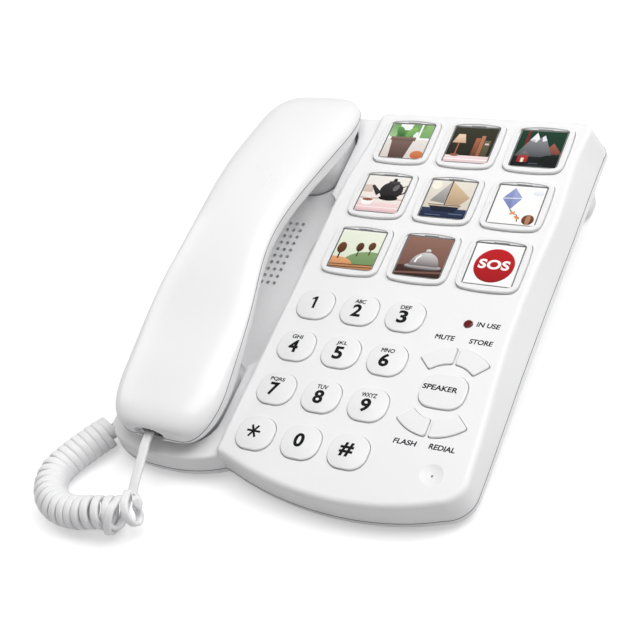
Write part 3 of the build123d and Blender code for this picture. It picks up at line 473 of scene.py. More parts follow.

# %% [markdown]
# ## Cord, rubber, lamp, plug and metal
#
# The cord is softer PVC, a little whiter and glossier than the housing, with a drawn grain: its
# noise reads the cord's own UV map and is stretched along it. One function makes the rest, each
# with its own grain: the windows' clear plastic, the gilt of the contacts and, in the table
# further down, dark grey plugs, rubber, board green and metals. The plugs are clear plastic:
# their dark grey is partly the black jack seen through them and partly painted shade of their
# sockets.

# %% Cord and small parts
def cord_finish():
    """White PVC with faint lines along the cord."""
    finish = Finish("cord_white")
    along = finish.node("ShaderNodeUVMap", {"uv_map": "along"})
    stretch = {"Vector": along, "Scale": (60.0, 9.0, 1.0)}
    stretched = finish.node("ShaderNodeMapping", {}, stretch)
    lines = finish.noise(4.0, place=stretched)
    colour = finish.blend(lines, paint(235, 235, 236), paint(243, 243, 244))
    bump = finish.bump(lines, 0.03 * mm, 0.4)
    return finish.surface(Base_Color=colour, Roughness=lines * 0.15 + 0.30, Normal=bump, IOR=1.52)


def grained(name, dark, light, gloss, speck, metal=0.0, depth=0.01 * mm, clear=0.0, shine=0.5):
    """A plain stuff whose tone and gloss change with a fine noise."""
    finish = Finish(name)
    noise = finish.noise(1 / speck)
    return finish.surface(
        Base_Color=finish.blend(noise, paint(*dark), paint(*light)),
        Roughness=noise * 0.12 + gloss,
        Normal=finish.bump(noise, depth),
        Metallic=metal,
        Transmission_Weight=clear,
        Specular_IOR_Level=shine,
        IOR=1.5,
    )


cord_white = cord_finish()
clear_window = grained("clear_window", (225, 228, 230), (240, 242, 243), 0.05, 1.5 * mm, clear=0.75)
contact_gold = grained("contact_gold", (190, 150, 70), (225, 185, 95), 0.22, 0.2 * mm, metal=1.0)
print("small parts:", cord_white.name, clear_window.name, contact_gold.name)

# %% [markdown]
# ## Finishes for the frame's parts
#
# Each part of the frame already names the stuff it is made of. A table from those names to
# finishes is enough to dress all of them at once.

# %% Dress the parts
finish_of = {
    "white_housing": housing_white,
    "white_handset": handset_white,
    "white_keys": key_white,
    "white_cord": cord_white,
    # Painted shade: the clear plugs get a dark grey for the shade in their sockets, together with the
    # black jack seen through them.
    "clear_plug": grained("clear_plug", (44, 45, 47), (96, 98, 100), 0.05, 1.5 * mm, clear=0.25),
    "red_lamp": grained("red_lens", (70, 8, 10), (120, 18, 18), 0.10, 1.2 * mm),
    "black_jack": grained("jack_black", (16, 16, 17), (30, 30, 32), 0.40, 0.4 * mm),
    "grey_rubber": grained(
        "foot_rubber", (96, 97, 99), (118, 119, 121), 0.75, 0.5 * mm, depth=0.05 * mm
    ),
    "membrane_rubber": grained("membrane_grey", (150, 152, 156), (176, 178, 182), 0.60, 0.6 * mm),
    "board_green": grained("board_green", (18, 74, 44), (28, 96, 58), 0.35, 1.0 * mm),
    "screw_steel": grained("screw_steel", (150, 152, 155), (190, 192, 195), 0.28, 0.2 * mm, metal=1.0),
    "speaker_metal": grained("speaker_metal", (60, 61, 64), (90, 91, 95), 0.38, 0.5 * mm, metal=0.8),
    "capsule_metal": grained(
        "capsule_metal", (130, 132, 136), (168, 170, 174), 0.32, 0.3 * mm, metal=1.0
    ),
    "picture_card": clear_window,
    "alarm_card": clear_window,
}
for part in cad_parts.values():
    for held in part.material_slots:
        held.material = finish_of[held.material.name.split(".")[0]]
print("dressed", len(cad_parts), "parts")

# %% [markdown]
# ## The cord in place
#
# The cord stands for the three solids that keep its room in the frame. Its coil and the lead
# to the telephone stay with the telephone. The lead to the handset is a piece of its own that
# goes on where the coil ends, fixed in place and tied to no body.

# %% Cord in place
def new_piece(name, mesh, finish, body):
    """A piece of the scene that rides on a body of the frame."""
    piece = put(name, mesh)
    if finish:
        mesh.materials.append(finish)
    if body:
        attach(piece, body)
    return piece


def declare_cord(span):
    """Measures the length of a span of the path; the length is not kept."""
    lengths_along(cord_path[span])[-1]


cord_coil = new_piece("handset_cord", coil_mesh, cord_white, "base")
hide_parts("base_cord_lead", "handset_cord_coil")
declare_cord(coil_span)
cord_end = new_piece("handset_cord_end", lead_mesh, cord_white, None)
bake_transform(cord_end)
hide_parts("handset_cord_lead")
declare_cord(lead_span)
print("cord pieces:", cord_coil.name, "and", cord_end.name)

# %% [markdown]
# ## Contacts in the plugs
#
# A handset plug carries four gilt contact blades side by side. They repeat, so a Geometry
# Nodes tree makes them: a row of points, a small blade on each, and Realize Instances
# at the end so that real faces are left. The tree's sizes are named inputs.

# %% Tree for a row of blades
blade_count, blade_pitch = 4, 1.02 * mm
blade_size = (0.35 * mm, 5.0 * mm, 1.0 * mm)


def row_of_blades():
    """A Geometry Nodes tree: blades in a row, with number, pitch and size as inputs."""
    tree = bpy.data.node_groups.new("row_of_blades", "GeometryNodeTree")
    face = tree.interface
    inputs = (
        ("Number", "NodeSocketInt", blade_count),
        ("Pitch", "NodeSocketFloat", blade_pitch),
        ("Blade", "NodeSocketVector", blade_size),
        ("Finish", "NodeSocketMaterial", None),
    )
    for name, kind, value in inputs:
        socket = face.new_socket(name=name, in_out="INPUT", socket_type=kind)
        if value is not None:
            socket.default_value = value
    face.new_socket(name="Geometry", in_out="OUTPUT", socket_type="NodeSocketGeometry")
    given = tree.nodes.new("NodeGroupInput").outputs
    result = tree.nodes.new("NodeGroupOutput").inputs
    step = tree.nodes.new("ShaderNodeCombineXYZ")
    line, blade, place, real, dress = (
        tree.nodes.new("GeometryNode" + kind)
        for kind in ("MeshLine", "MeshCube", "InstanceOnPoints", "RealizeInstances", "SetMaterial")
    )
    for start, end in (
        (given["Number"], line.inputs["Count"]),
        (given["Pitch"], step.inputs["X"]),
        (step.outputs[0], line.inputs["Offset"]),
        (given["Blade"], blade.inputs["Size"]),
        (line.outputs[0], place.inputs["Points"]),
        (blade.outputs["Mesh"], place.inputs["Instance"]),
        (place.outputs[0], real.inputs[0]),
        (real.outputs[0], dress.inputs["Geometry"]),
        (given["Finish"], dress.inputs["Material"]),
        (dress.outputs[0], result[0]),
    ):
        tree.links.new(start, end)
    return tree


blade_tree = row_of_blades()
blade_inputs = [item for item in blade_tree.interface.items_tree if item.in_out == "INPUT"]
print("inputs of the tree:", [item.name for item in blade_inputs])

# %% Blades in both plugs
def blades(name, mouth, across, inward, body):
    """The blades in a plug, from the place of its mouth and its directions."""
    carrier = put(name, bpy.data.meshes.new(name))
    modifier = carrier.modifiers.new("blades", "NODES")
    modifier.node_group = blade_tree
    sockets = {item.name: item.identifier for item in blade_inputs}
    modifier[sockets["Number"]] = blade_count
    modifier[sockets["Pitch"]] = blade_pitch
    modifier[sockets["Finish"]] = contact_gold
    mesh = plain_mesh(carrier, name)
    middle = mouth + (inward * (plug_depth - blade_inset) + deck_out * blade_rise) * mm
    start = middle - across * blade_pitch * (blade_count - 1) / 2
    turn = Matrix((across, inward, deck_out)).transposed().to_4x4()
    mesh.transform(Matrix.Translation(start) @ turn)
    new_piece(name, mesh, None, body)


plug_depth, blade_inset, blade_rise = 10.5, 3.0, 2.5
blades("handset_plug_contacts", handset_plug_mouth, deck_right, deck_up, "handset")
blades("base_plug_contacts", base_plug_mouth, -deck_up, deck_right, "base")
print("each plug has", blade_count, "blades")

# %% [markdown]
# ## Parting lines
#
# Two moulded shells meet at a narrow groove that lies in shade, and that shade is painted here: a
# thin grey strip on the sharp edges of one shell that touch the other. Edges on the inside of a
# wall are left out: a ray from them, straight out of the plastic, meets the same shell again,
# while a ray from the outside meets nothing.

# %% Lines between the shells
seam_reach, seam_turn, seam_width = 0.5 * mm, 0.7, 0.26 * mm
# Painted shadow: the grey of the parting lines stands in for the shade in the groove between two
# shells.
painted_seam_shadow = grained("painted_seam_shadow", (104, 104, 108), (124, 124, 128), 0.60, 0.5 * mm)


def outer_seam(shell, other):
    """The outer edges of a shell that lie along another, as pairs of points."""
    shape = bmesh.new()
    shape.from_mesh(shell.data)
    bmesh.ops.remove_doubles(shape, verts=shape.verts, dist=0.001 * mm)
    own = BVHTree.FromBMesh(shape)
    beside = BVHTree.FromObject(other, bpy.context.evaluated_depsgraph_get())
    runs = []
    for edge in shape.edges:
        if len(edge.link_faces) != 2 or edge.calc_face_angle(0.0) < seam_turn:
            continue
        ends = [vertex.co.copy() for vertex in edge.verts]
        if any(beside.find_nearest(end, seam_reach)[0] is None for end in ends):
            continue
        middle = (ends[0] + ends[1]) / 2
        rays = [(middle + face.normal * 0.05 * mm, face.normal) for face in edge.link_faces]
        if all(own.ray_cast(*ray)[0] is None for ray in rays):
            runs.append(ends)
    shape.free()
    return runs


def seam(name, shell_name, other_name, body):
    """A thin strip of painted shadow where two shells meet."""
    runs = outer_seam(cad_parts[shell_name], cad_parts[other_name])
    shape = bmesh.new()
    for start, end in runs:
        along = (end - start).normalized()
        turn = along.to_track_quat("Z", "Y").to_matrix().to_4x4()
        size = Matrix.Diagonal((seam_width, seam_width, (end - start).length, 1.0))
        place = Matrix.Translation((start + end) / 2) @ turn @ size
        bmesh.ops.create_cube(shape, size=1.0, matrix=place)
    print(name, "has", len(runs), "runs")
    new_piece(name, mesh_of(shape, name), painted_seam_shadow, body)


seam("handset_seam", "handset_upper_shell", "handset_lower_shell", "handset")
seam("housing_seam", "upper_housing", "lower_housing", "base")

# %% [markdown]
# ## Printing
#
# The legends are pad-printed in black: bold digits with small letters over them on the dial
# keys, and function names on the deck. Blender's own letters are turned to a mesh, scaled to
# the printed height and width, and laid a hair above the plastic. A bevel round each letter,
# pressed flat, makes it bold without closing its small gaps. A dial key is domed, so its print
# is first cut into small squares, which can then follow the dome.

# %% Letters laid on a surface
print_lift, bend_step = 0.02, 0.8
flat_axes = Vector((1, 0, 0)), Vector((0, 1, 0))


def letters(words, height, width, bold, slant=0.0, spacing=1.0):
    """Words as a flat mesh round the origin, scaled to a cap height and width in millimetres."""
    text = bpy.data.curves.new("letters", "FONT")
    text.body = words
    text.fill_mode = "FRONT"
    text.bevel_depth = bold
    text.bevel_resolution = 0
    text.shear = slant
    text.space_character = spacing
    mesh = plain_mesh(put("letters", text), "letters")
    bpy.data.curves.remove(text)
    shape = bmesh.new()
    shape.from_mesh(mesh)
    bpy.data.meshes.remove(mesh)
    unseen = [face for face in shape.faces if face.normal.z < 0.01]
    bmesh.ops.delete(shape, geom=unseen, context="FACES")
    across = [vertex.co.x for vertex in shape.verts]
    up = [vertex.co.y for vertex in shape.verts]
    tall = height / (max(up) - min(up))
    wide = width / (max(across) - min(across))
    middle = ((max(across) + min(across)) / 2, (max(up) + min(up)) / 2)
    for vertex in shape.verts:
        vertex.co = ((vertex.co.x - middle[0]) * wide, (vertex.co.y - middle[1]) * tall, 0.0)
    return shape


def cut(shape, place, facing, clear=False):
    """Cuts a mesh along a plane, and may clear what lies in front of it."""
    everything = shape.verts[:] + shape.edges[:] + shape.faces[:]
    bmesh.ops.bisect_plane(
        shape, geom=everything, plane_co=place, plane_no=facing, clear_outer=clear
    )


def cut_in_squares(shape, step):
    """Cuts a flat mesh along a grid, so that it can be bent."""
    for axis in flat_axes:
        reach = max(abs(vertex.co.dot(axis)) for vertex in shape.verts)
        for k in range(-ceil(reach / step), ceil(reach / step) + 1):
            cut(shape, axis * k * step, axis)


def lay_print(target, shape, u, v, rise):
    """Adds a flat mesh to another, laid on the deck at (u, v), with its height from rise."""
    moved = {}
    for vertex in shape.verts:
        du, dv = u + vertex.co.x, v + vertex.co.y
        moved[vertex] = target.verts.new(deck(du, dv, rise(du, dv) + print_lift))
    for face in shape.faces:
        target.faces.new([moved[vertex] for vertex in face.verts])
    shape.free()


def printed(name, shape, finish, body):
    """Turns laid print into a piece, with its faces looking out of the deck."""
    bmesh.ops.triangulate(shape, faces=shape.faces[:])
    shape.normal_update()
    for face in shape.faces:
        if face.normal.dot(deck_out) < 0:
            face.normal_flip()
    new_piece(name, mesh_of(shape, name), finish, body)


ink_black = grained(
    "ink_black", (8, 8, 9), (20, 20, 21), 0.50, 0.3 * mm, depth=0.004 * mm, shine=0.15
)
print("print lies", print_lift, "mm above the plastic")

# %% Names on the deck
deck_names = {
    "IN USE": (83.3, 70.7, 10.6),
    "MUTE": (66.3, 61.9, 9.0),
    "STORE": (82.8, 61.8, 10.6),
    "FLASH": (66.95, 9.5, 10.3),
    "REDIAL": (83.2, 9.8, 11.4),
}
name_height, name_bold, name_slant = 2.5, 0.03, 0.10
deck_print = bmesh.new()
for words, (u, v, width) in deck_names.items():
    name = letters(words, name_height, width, name_bold, name_slant)
    lay_print(deck_print, name, u, v, lambda u, v: 0.0)
printed("deck_names", deck_print, ink_black, "base")
speaker_u, speaker_v, speaker_rise = 73.3, 36.4, 1.0
speaker_height, speaker_width, speaker_slant = 2.6, 15.6, 0.06
speaker_print = bmesh.new()
speaker_name = letters("SPEAKER", speaker_height, speaker_width, name_bold, speaker_slant)
lay_print(speaker_print, speaker_name, speaker_u, speaker_v, lambda u, v: speaker_rise)
printed("speaker_name", speaker_print, ink_black, "speaker")

# %% Digits on the dial keys
dial_pitch_u, dial_pitch_v = 22.5, 23.1
dial_rise, dial_crown, dome_radius = 0.9, 0.7, 68.95
dial_legends = "* 0 #", "7PQRS 8TUV 9WXYZ", "4GHI 5JKL 6MNO", "1 2ABC 3DEF"  # from the lowest row up
sign_names = {"*": "star", "#": "hash"}
digit_height, digit_width, digit_bold = 6.6, 4.7, 0.034
digit_low, digit_alone = -0.9, 0.4  # up the key, with letters over the digit and without
above_height, above_width, above_bold, above_up = 2.2, 5.3, 0.027, 4.1
star_reach, star_stroke = 3.3, 1.0
digit_widths = {"#": 6.2}
letter_widths = {"PQRS": 7.2, "WXYZ": 7.2, "MNO": 6.3}
digit_shift = -0.7


def block(left, low, right, high):
    """Points of an upright rectangle."""
    return [(left, low), (right, low), (right, high), (left, high)]


def flat(outline):
    """A flat mesh of one face."""
    shape = bmesh.new()
    shape.faces.new([shape.verts.new((x, y, 0)) for x, y in outline])
    return shape


def figure_one(height):
    """A bold 1 with a flag, as a flat mesh."""
    half, bar, flag = height / 2, height * 0.19, height * 0.21
    outline = [(bar, -half), (bar, half), (0.25 * bar, half), (-flag, half * 0.68)]
    return flat(outline + [(-flag, half * 0.36), (0, half * 0.62), (0, -half)])


def star_sign(reach, stroke):
    """A star of six arms, as a flat mesh."""
    shape = bmesh.new()
    for k in range(6):
        turn = Matrix.Rotation(k * pi / 3, 3, "Z")
        arm = block(0, -stroke / 2, reach, stroke / 2)
        shape.faces.new([shape.verts.new(turn @ Vector((x, y, 0))) for x, y in arm])
    return shape


for row, legends in enumerate(dial_legends):
    for column, legend in enumerate(legends.split()):
        digit, above = legend[0], legend[1:]
        name = sign_names.get(digit, digit)
        key_u, key_v = column * dial_pitch_u, row * dial_pitch_v

        def dome(u, v):
            far = (u - key_u) ** 2 + (v - key_v) ** 2
            return dial_rise + dial_crown - far / (2 * dome_radius)

        ink = bmesh.new()
        up, width = digit_low if above else digit_alone, digit_widths.get(digit, digit_width)
        lines = [(digit, digit_height, width, up, digit_bold)]
        if above:
            width = letter_widths.get(above, above_width)
            lines.append((above, above_height, width, above_up, above_bold))
        for words, height, width, up, bold in lines:
            if words == "*":
                sign = star_sign(star_reach, star_stroke)
            elif words == "1":
                sign = figure_one(height)
            else:
                sign = letters(words, height, width, bold)
            cut_in_squares(sign, bend_step)
            lay_print(ink, sign, key_u + digit_shift, key_v + up, dome)
        printed("dial_print_" + name, ink, ink_black, "dial_" + name)
print("dial keys printed:", sum(len(legends.split()) for legends in dial_legends))

# %% [markdown]
# ## Picture cards
#
# Each picture key holds a printed card under a clear window. The owner puts in their own
# pictures, so the cards here carry simple made-up scenes of flat shapes, four of them laid
# mirrored. A shape is an outline in millimetres on the card with a colour, or two for a blend
# from its foot to its head. The colour is kept in the mesh as an attribute, so one glossy
# finish serves all the cards.

# %% Card finish
def card_finish():
    """Print under a clear window: colour from the mesh, slight paper tone, a gloss on top."""
    finish = Finish("printed_card")
    ink = finish.node("ShaderNodeAttribute", {"attribute_name": "ink"})
    paper = finish.noise(900.0)
    tone = finish.blend(paper, (0.62, 0.62, 0.62), (1.0, 1.0, 1.0))
    return finish.surface(
        Base_Color=finish.blend(0.22, ink, tone, "MULTIPLY"),
        Roughness=paper * 0.1 + 0.38,
        Specular_IOR_Level=0.1,
        Coat_Weight=0.5,
        Coat_Roughness=0.05,
        Coat_IOR=1.45,
    )


printed_card = card_finish()
card_half = 11.1
window_rise = 0.7  # from the deck to the top of a window
layer_lift = 0.004  # each shape of a card lies this far over the one before


def oval(x, y, across, up, turn=0.0, count=28):
    """Points of an oval."""
    points = []
    for k in range(count):
        a, b = across * cos(2 * pi * k / count), up * sin(2 * pi * k / count)
        points.append((x + a * cos(turn) - b * sin(turn), y + a * sin(turn) + b * cos(turn)))
    return points


def stroke(points, width):
    """Points round a broad line through a few points."""
    left, right = [], []
    for i, (x, y) in enumerate(points):
        before, after = points[max(i - 1, 0)], points[min(i + 1, len(points) - 1)]
        angle = atan2(after[1] - before[1], after[0] - before[0])
        left.append((x - sin(angle) * width / 2, y + cos(angle) * width / 2))
        right.append((x + sin(angle) * width / 2, y - cos(angle) * width / 2))
    return left + right[::-1]


def mirrored(shapes):
    """The same picture with its left and right changed over."""
    return [([(-x, y) for x, y in outline], *colours) for outline, *colours in shapes]


print("card is", 2 * card_half, "mm square")

# %% Card maker
def card(number, key_u, key_v, shapes):
    """A printed card on a picture key, from (outline, colour, colour of its head) in turn."""
    whole = bmesh.new()
    ink = whole.verts.layers.float_color.new("ink")
    for level, (outline, *colours) in enumerate(shapes):
        low, high = (paint(*colour) for colour in (colours[0], colours[-1]))
        shape = flat(outline)
        for axis in flat_axes:
            for side in (-1, 1):
                cut(shape, axis * side * card_half, axis * side, clear=True)
        heights = [y for _, y in outline]
        foot, head = min(heights), max(heights)
        copies = {}
        for vertex in shape.verts:
            rise = window_rise + print_lift + layer_lift * level
            copy = whole.verts.new(deck(key_u + vertex.co.x, key_v + vertex.co.y, rise))
            share = (vertex.co.y - foot) / (head - foot)
            copy[ink] = (*(a + (b - a) * share for a, b in zip(low, high)), 1.0)
            copies[vertex] = copy
        for face in shape.faces:
            whole.faces.new([copies[vertex] for vertex in face.verts])
        shape.free()
    printed("picture_%d" % number, whole, printed_card, "photo_%d" % number)


white = (246, 246, 245)
sky_pale, leaf, leaf_dark = (222, 236, 226), (104, 158, 92), (52, 96, 50)
bark, clay = (96, 60, 42), (176, 104, 74)
full = block(-12, -12, 12, 12)
pictures = {}
print("ground of a card:", full)

# %% Upper row of pictures
pictures[1] = [
    (full, sky_pale, white),
    (oval(-8.5, 6.0, 4.2, 6.0), leaf, (150, 190, 120)),
    (oval(-3.5, 9.5, 3.8, 3.4), (126, 172, 104), leaf),
    (oval(8.8, 7.0, 3.0, 5.0), (168, 200, 150), leaf),
    (block(-11.2, 1.2, 11.2, 2.4), white),
    (block(-5.6, 1.0, -4.6, 12), white),
    (block(5.8, 1.0, 6.8, 12), white),
    (block(-11.2, -11.2, 11.2, 1.2), (214, 205, 198), (232, 226, 220)),
    (oval(2.5, 3.2, 4.6, 4.0), leaf_dark, leaf),
    (oval(-0.5, 5.8, 2.2, 3.6, 0.5), leaf, (140, 186, 104)),
    (oval(5.4, 6.0, 2.0, 3.8, -0.5), leaf_dark, leaf),
    ([(-3.4, 1.0), (8.4, 1.0), (6.6, -11.2), (-1.6, -11.2)], (86, 66, 60), (124, 100, 92)),
    (block(-4.2, 0.2, 9.2, 2.6), (104, 80, 74), (140, 114, 104)),
    (oval(-8.0, -8.6, 3.4, 2.6), (188, 96, 58), (214, 132, 84)),
]
pictures[2] = [
    (full, (26, 24, 20), (56, 56, 42)),
    (block(-12, -12, 12, -7.0), (226, 196, 198), (240, 220, 220)),
    (block(-12, -9.6, 12, -9.0), white),
    (block(1.4, -7.0, 3.8, 4.6), bark, clay),
    (block(4.0, -7.0, 6.0, 6.2), (150, 96, 70), (178, 122, 92)),
    (block(6.2, -7.0, 9.4, 3.2), (74, 70, 50), (104, 98, 70)),
    (block(6.8, 0.4, 8.8, 1.4), (226, 196, 198)),
    (block(-6.8, -6.6, -6.2, 1.2), clay),
    (oval(-6.5, -6.8, 2.4, 0.8), bark, clay),
    ([(-10.0, 1.0), (-3.0, 1.0), (-4.8, 6.6), (-8.2, 6.6)], (206, 170, 140), (236, 212, 184)),
]
pictures[3] = [
    (full, (18, 36, 26), (24, 62, 46)),
    (block(6.4, -12, 7.8, 12), (96, 28, 30), (120, 44, 40)),
    ([(-12, -3), (-6.4, 4.0), (-2.0, -3)], (120, 66, 54), (158, 96, 78)),
    ([(-8.0, -5.5), (-1.0, 8.6), (1.2, 6.4), (3.2, 10.2), (11.0, -5.5)], (74, 76, 80), (150, 152, 154)),
    ([(-2.6, 5.4), (-1.0, 8.6), (0.2, 7.4), (-0.6, 4.6)], (226, 228, 228)),
    ([(1.2, 6.4), (3.2, 10.2), (5.8, 5.0), (3.6, 5.8), (2.4, 3.8)], (236, 238, 238)),
    (block(-12, -12, 12, -5.0), (10, 12, 14), (26, 32, 34)),
    (oval(-7.4, -6.4, 5.6, 2.8), (14, 16, 16), (20, 30, 24)),
    (block(3.6, -8.6, 8.6, -4.6), (150, 34, 36), (176, 52, 50)),
    ([(2.8, -4.6), (9.4, -4.6), (6.1, -1.6)], (92, 84, 82), (130, 124, 122)),
    (block(5.4, -8.6, 6.8, -6.0), (236, 226, 200)),
    (block(-2.0, -9.4, 2.6, -9.0), (92, 100, 106)),
    (block(-5.0, -10.6, 4.0, -10.3), (70, 78, 84)),
]
print("upper row:", [len(pictures[number]) for number in (1, 2, 3)], "shapes")

# %% Middle row of pictures
pictures[4] = [
    (full, (236, 226, 220), (240, 236, 230)),
    (block(-12, -3.4, 12, -2.6), (206, 184, 174)),
    (block(6.0, 0.6, 12, 5.2), (206, 186, 170), (222, 204, 190)),
    (oval(-3.6, 2.4, 6.0, 5.4), (24, 22, 24), (58, 54, 56)),
    (oval(-3.6, -2.4, 5.0, 1.6), (20, 18, 20)),
    ([(1.4, 1.0), (6.4, 5.4), (7.4, 4.6), (3.2, -1.4)], (30, 28, 30), (60, 56, 58)),
    (stroke([(-8.8, 4.6), (-11.2, 6.2), (-11.0, 1.4), (-8.6, 0.2)], 0.9), (40, 36, 38)),
    (oval(-3.6, 7.6, 3.0, 0.8), (70, 66, 68)),
    (oval(-3.6, 9.0, 1.0, 1.0), (34, 30, 32)),
    (oval(-5.6, 4.2, 1.4, 2.2, 0.4), (110, 106, 108)),
    (block(-12, -12, 12, -5.6), (232, 196, 198), (242, 218, 216)),
    (oval(6.6, -5.0, 3.2, 2.4), (250, 246, 244)),
    (oval(6.6, -4.0, 2.8, 0.9), (150, 92, 66)),
    (block(-12, -8.8, 12, -8.2), (248, 236, 234)),
    (block(-12, -10.6, 12, -10.2), (222, 178, 182)),
]
pictures[5] = [
    (full, (206, 198, 182), (232, 226, 214)),
    (oval(8.2, 8.2, 2.6, 2.6), (246, 240, 226)),
    ([(-10.4, 1.6), (0.4, 10.8), (0.4, -3.0), (-6.4, -3.4)], (178, 152, 124), (222, 196, 160)),
    ([(1.2, 11.0), (8.8, -1.6), (1.2, -2.6)], (140, 138, 136), (196, 192, 188)),
    (stroke([(0.8, -4.4), (0.8, 11.4)], 0.6), (74, 52, 38)),
    (block(-12, -12, 12, -5.6), (26, 36, 60), (44, 58, 88)),
    ([(-7.6, -3.4), (9.0, -3.4), (5.6, -7.6), (-5.4, -7.6)], (20, 26, 44), (34, 42, 64)),
    (block(-7.0, -4.4, 8.4, -3.8), (212, 190, 160)),
    (block(-10.0, -8.8, -3.0, -8.4), (108, 122, 146)),
    (block(0.6, -10.0, 8.6, -9.6), (92, 106, 132)),
]
pictures[6] = [
    (full, white),
    ([(-8.0, 3.4), (-3.4, 10.0), (1.4, 4.2), (-2.6, -2.8)], (112, 126, 178), (146, 158, 204)),
    ([(-3.4, 10.0), (1.4, 4.2), (-2.6, -2.8)], (128, 142, 192), (160, 172, 214)),
    (stroke([(-8.0, 3.4), (1.4, 4.2)], 0.4), white),
    (stroke([(-2.6, -2.8), (-0.6, -5.0), (1.6, -5.8), (2.6, -9.6)], 0.5), (86, 50, 34)),
    (oval(-0.8, -4.8, 1.5, 0.7, 0.7), (236, 150, 72)),
    (oval(2.0, -7.2, 1.5, 0.7, -0.4), (228, 140, 66)),
    (oval(8.0, 7.6, 2.6, 1.5), (222, 226, 232), (238, 240, 243)),
    (oval(7.4, -8.0, 2.9, 2.9), (86, 50, 34), (120, 76, 52)),
    (oval(7.4, -8.0, 1.2, 2.9), (176, 126, 96)),
]
print("middle row:", [len(pictures[number]) for number in (4, 5, 6)], "shapes")

# %% Lower row of pictures
steel, steel_dark = (214, 210, 210), (112, 104, 106)
trunk, track, brown, brown_pale = (74, 44, 28), (104, 64, 40), (82, 46, 28), (112, 66, 38)
pictures[7] = [
    (full, (214, 226, 198), (238, 242, 226)),
    (oval(8.0, -8.0, 13.0, 7.4), (96, 128, 84), (136, 164, 112)),
    (oval(-8.6, -9.0, 9.0, 4.2), (206, 132, 84), (228, 166, 116)),
    (block(-12, -12, 12, -8.6), (176, 120, 78), (206, 152, 106)),
    (block(-8.5, -6.0, -7.7, -1.6), trunk),
    (oval(-8.1, 0.4, 2.3, 3.2), brown, brown_pale),
    (block(0.7, -4.0, 1.3, -0.4), trunk),
    (oval(1.0, 1.6, 1.9, 2.6), (68, 38, 24), (100, 58, 34)),
    (block(6.6, -2.6, 7.2, 0.8), trunk),
    (oval(6.9, 2.6, 1.8, 2.4), brown, brown_pale),
    (stroke([(-12, -9.4), (12, -8.2)], 0.5), track),
    (stroke([(-12, -10.8), (12, -9.6)], 0.5), track),
]
cover = [(1.4 + 7.2 * cos(pi * k / 24), 7.8 * sin(pi * k / 24) - 5.2) for k in range(25)]
pictures[8] = [
    (full, (104, 72, 62), (146, 108, 94)),
    (block(-12, -12, 12, -5.4), (46, 30, 28), (70, 44, 38)),
    ([(-12, -10.4), (12, -8.4), (12, -7.4), (-12, -9.4)], (122, 86, 74)),
    (oval(1.4, -6.0, 9.2, 1.7), (60, 52, 52), steel_dark),
    (oval(1.4, -5.5, 9.0, 1.4), steel_dark, steel),
    (cover, steel_dark, steel),
    (stroke([(-3.2, -3.4), (-2.8, -1.0), (-1.2, 0.8)], 0.9), white),
    (oval(1.4, 3.4, 1.3, 1.1), steel_dark, white),
]
pictures[9] = [
    (full, (246, 246, 246)),
    # Painted light on the disc's edge: the ring round it turns pink at its head as a painted highlight
    # and dark red at its foot as painted shade.
    (oval(0.25, -0.55, 9.3, 9.3, count=64), (122, 12, 18), (216, 70, 72)),
    (oval(0.2, -0.4, 8.9, 8.9, count=64), (164, 16, 24), (190, 26, 32)),
]
print("lower row:", [len(pictures[number]) for number in (7, 8, 9)], "shapes")

# %% Cards in their keys
photo_first_u, photo_first_v = 8.1, 102.3
photo_pitch_u, photo_pitch_v = 33.8, 34.5
photo_places = {}
mirrored_cards = (1, 3, 4, 5)
for number in range(1, 10):
    row, column = divmod(number - 1, 3)
    place = (photo_first_u + column * photo_pitch_u, photo_first_v + (2 - row) * photo_pitch_v)
    photo_places[number] = place
    picture = pictures[number]
    card(number, *place, mirrored(picture) if number in mirrored_cards else picture)
print("cards:", len(photo_places))

# %% [markdown]
# ## The alarm letters and the windows' edges
#
# The ninth key says SOS in white on its red disc. Round each card the gap where the clear window
# meets its seat lies in shade, painted here as a narrow dark frame of four bars, a hair above the
# window.

# %% Alarm letters
alarm_height, alarm_width, alarm_bold, alarm_spacing, alarm_shift = 5.2, 14.4, 0.035, 1.05, 0.1
alarm_u, alarm_v = photo_places[9]
alarm_print = bmesh.new()
alarm_rise = window_rise + 0.03  # over the disc
alarm_word = letters("SOS", alarm_height, alarm_width, alarm_bold, spacing=alarm_spacing)
lay_print(alarm_print, alarm_word, alarm_u + alarm_shift, alarm_v, lambda u, v: alarm_rise)
ink_white = grained(
    "ink_white", (240, 236, 235), (250, 248, 247), 0.35, 0.3 * mm, depth=0.003 * mm
)
printed("alarm_letters", alarm_print, ink_white, "photo_9")

# %% Edges of the windows
# Painted shadow: dark grey bars for the shade in the gap round each window.
painted_gap_shadow = grained("painted_gap_shadow", (60, 60, 62), (96, 96, 98), 0.6, 0.5 * mm)
edge_outer, edge_inner, edge_rise = 11.7, 11.35, window_rise + 0.01
for number, (u, v) in photo_places.items():
    edge = bmesh.new()
    for left, low, right, high in (
        (-edge_outer, -edge_outer, edge_outer, -edge_inner),
        (-edge_outer, edge_inner, edge_outer, edge_outer),
        (-edge_outer, -edge_inner, -edge_inner, edge_inner),
        (edge_inner, -edge_inner, edge_outer, edge_inner),
    ):
        corners = block(left, low, right, high)
        edge.faces.new([edge.verts.new(deck(u + a, v + b, edge_rise)) for a, b in corners])
    printed("window_edge_%d" % number, edge, painted_gap_shadow, "photo_%d" % number)
print("window edges:", edge_outer - edge_inner, "mm wide")

# %% [markdown]
# ## Floor, light and background
#
# The telephone stands on a plain pale floor. Near it the floor keeps the shadow, and further out
# it fades to white, so no edge shows where it ends. A camera ray sees the background as white
# too, while the light that falls on the telephone stays at a plain level. Two broad lamps, over
# the right side and above, give the soft shine, and a dimmer one keeps the left side open.

# %% Floor
floor_half, floor_drop = 4.0, 0.0002
fade_start, fade_rate = 0.35, 1.6  # metres from the middle, and share of white per metre
pure_white = (1.0, 1.0, 1.0, 1.0)


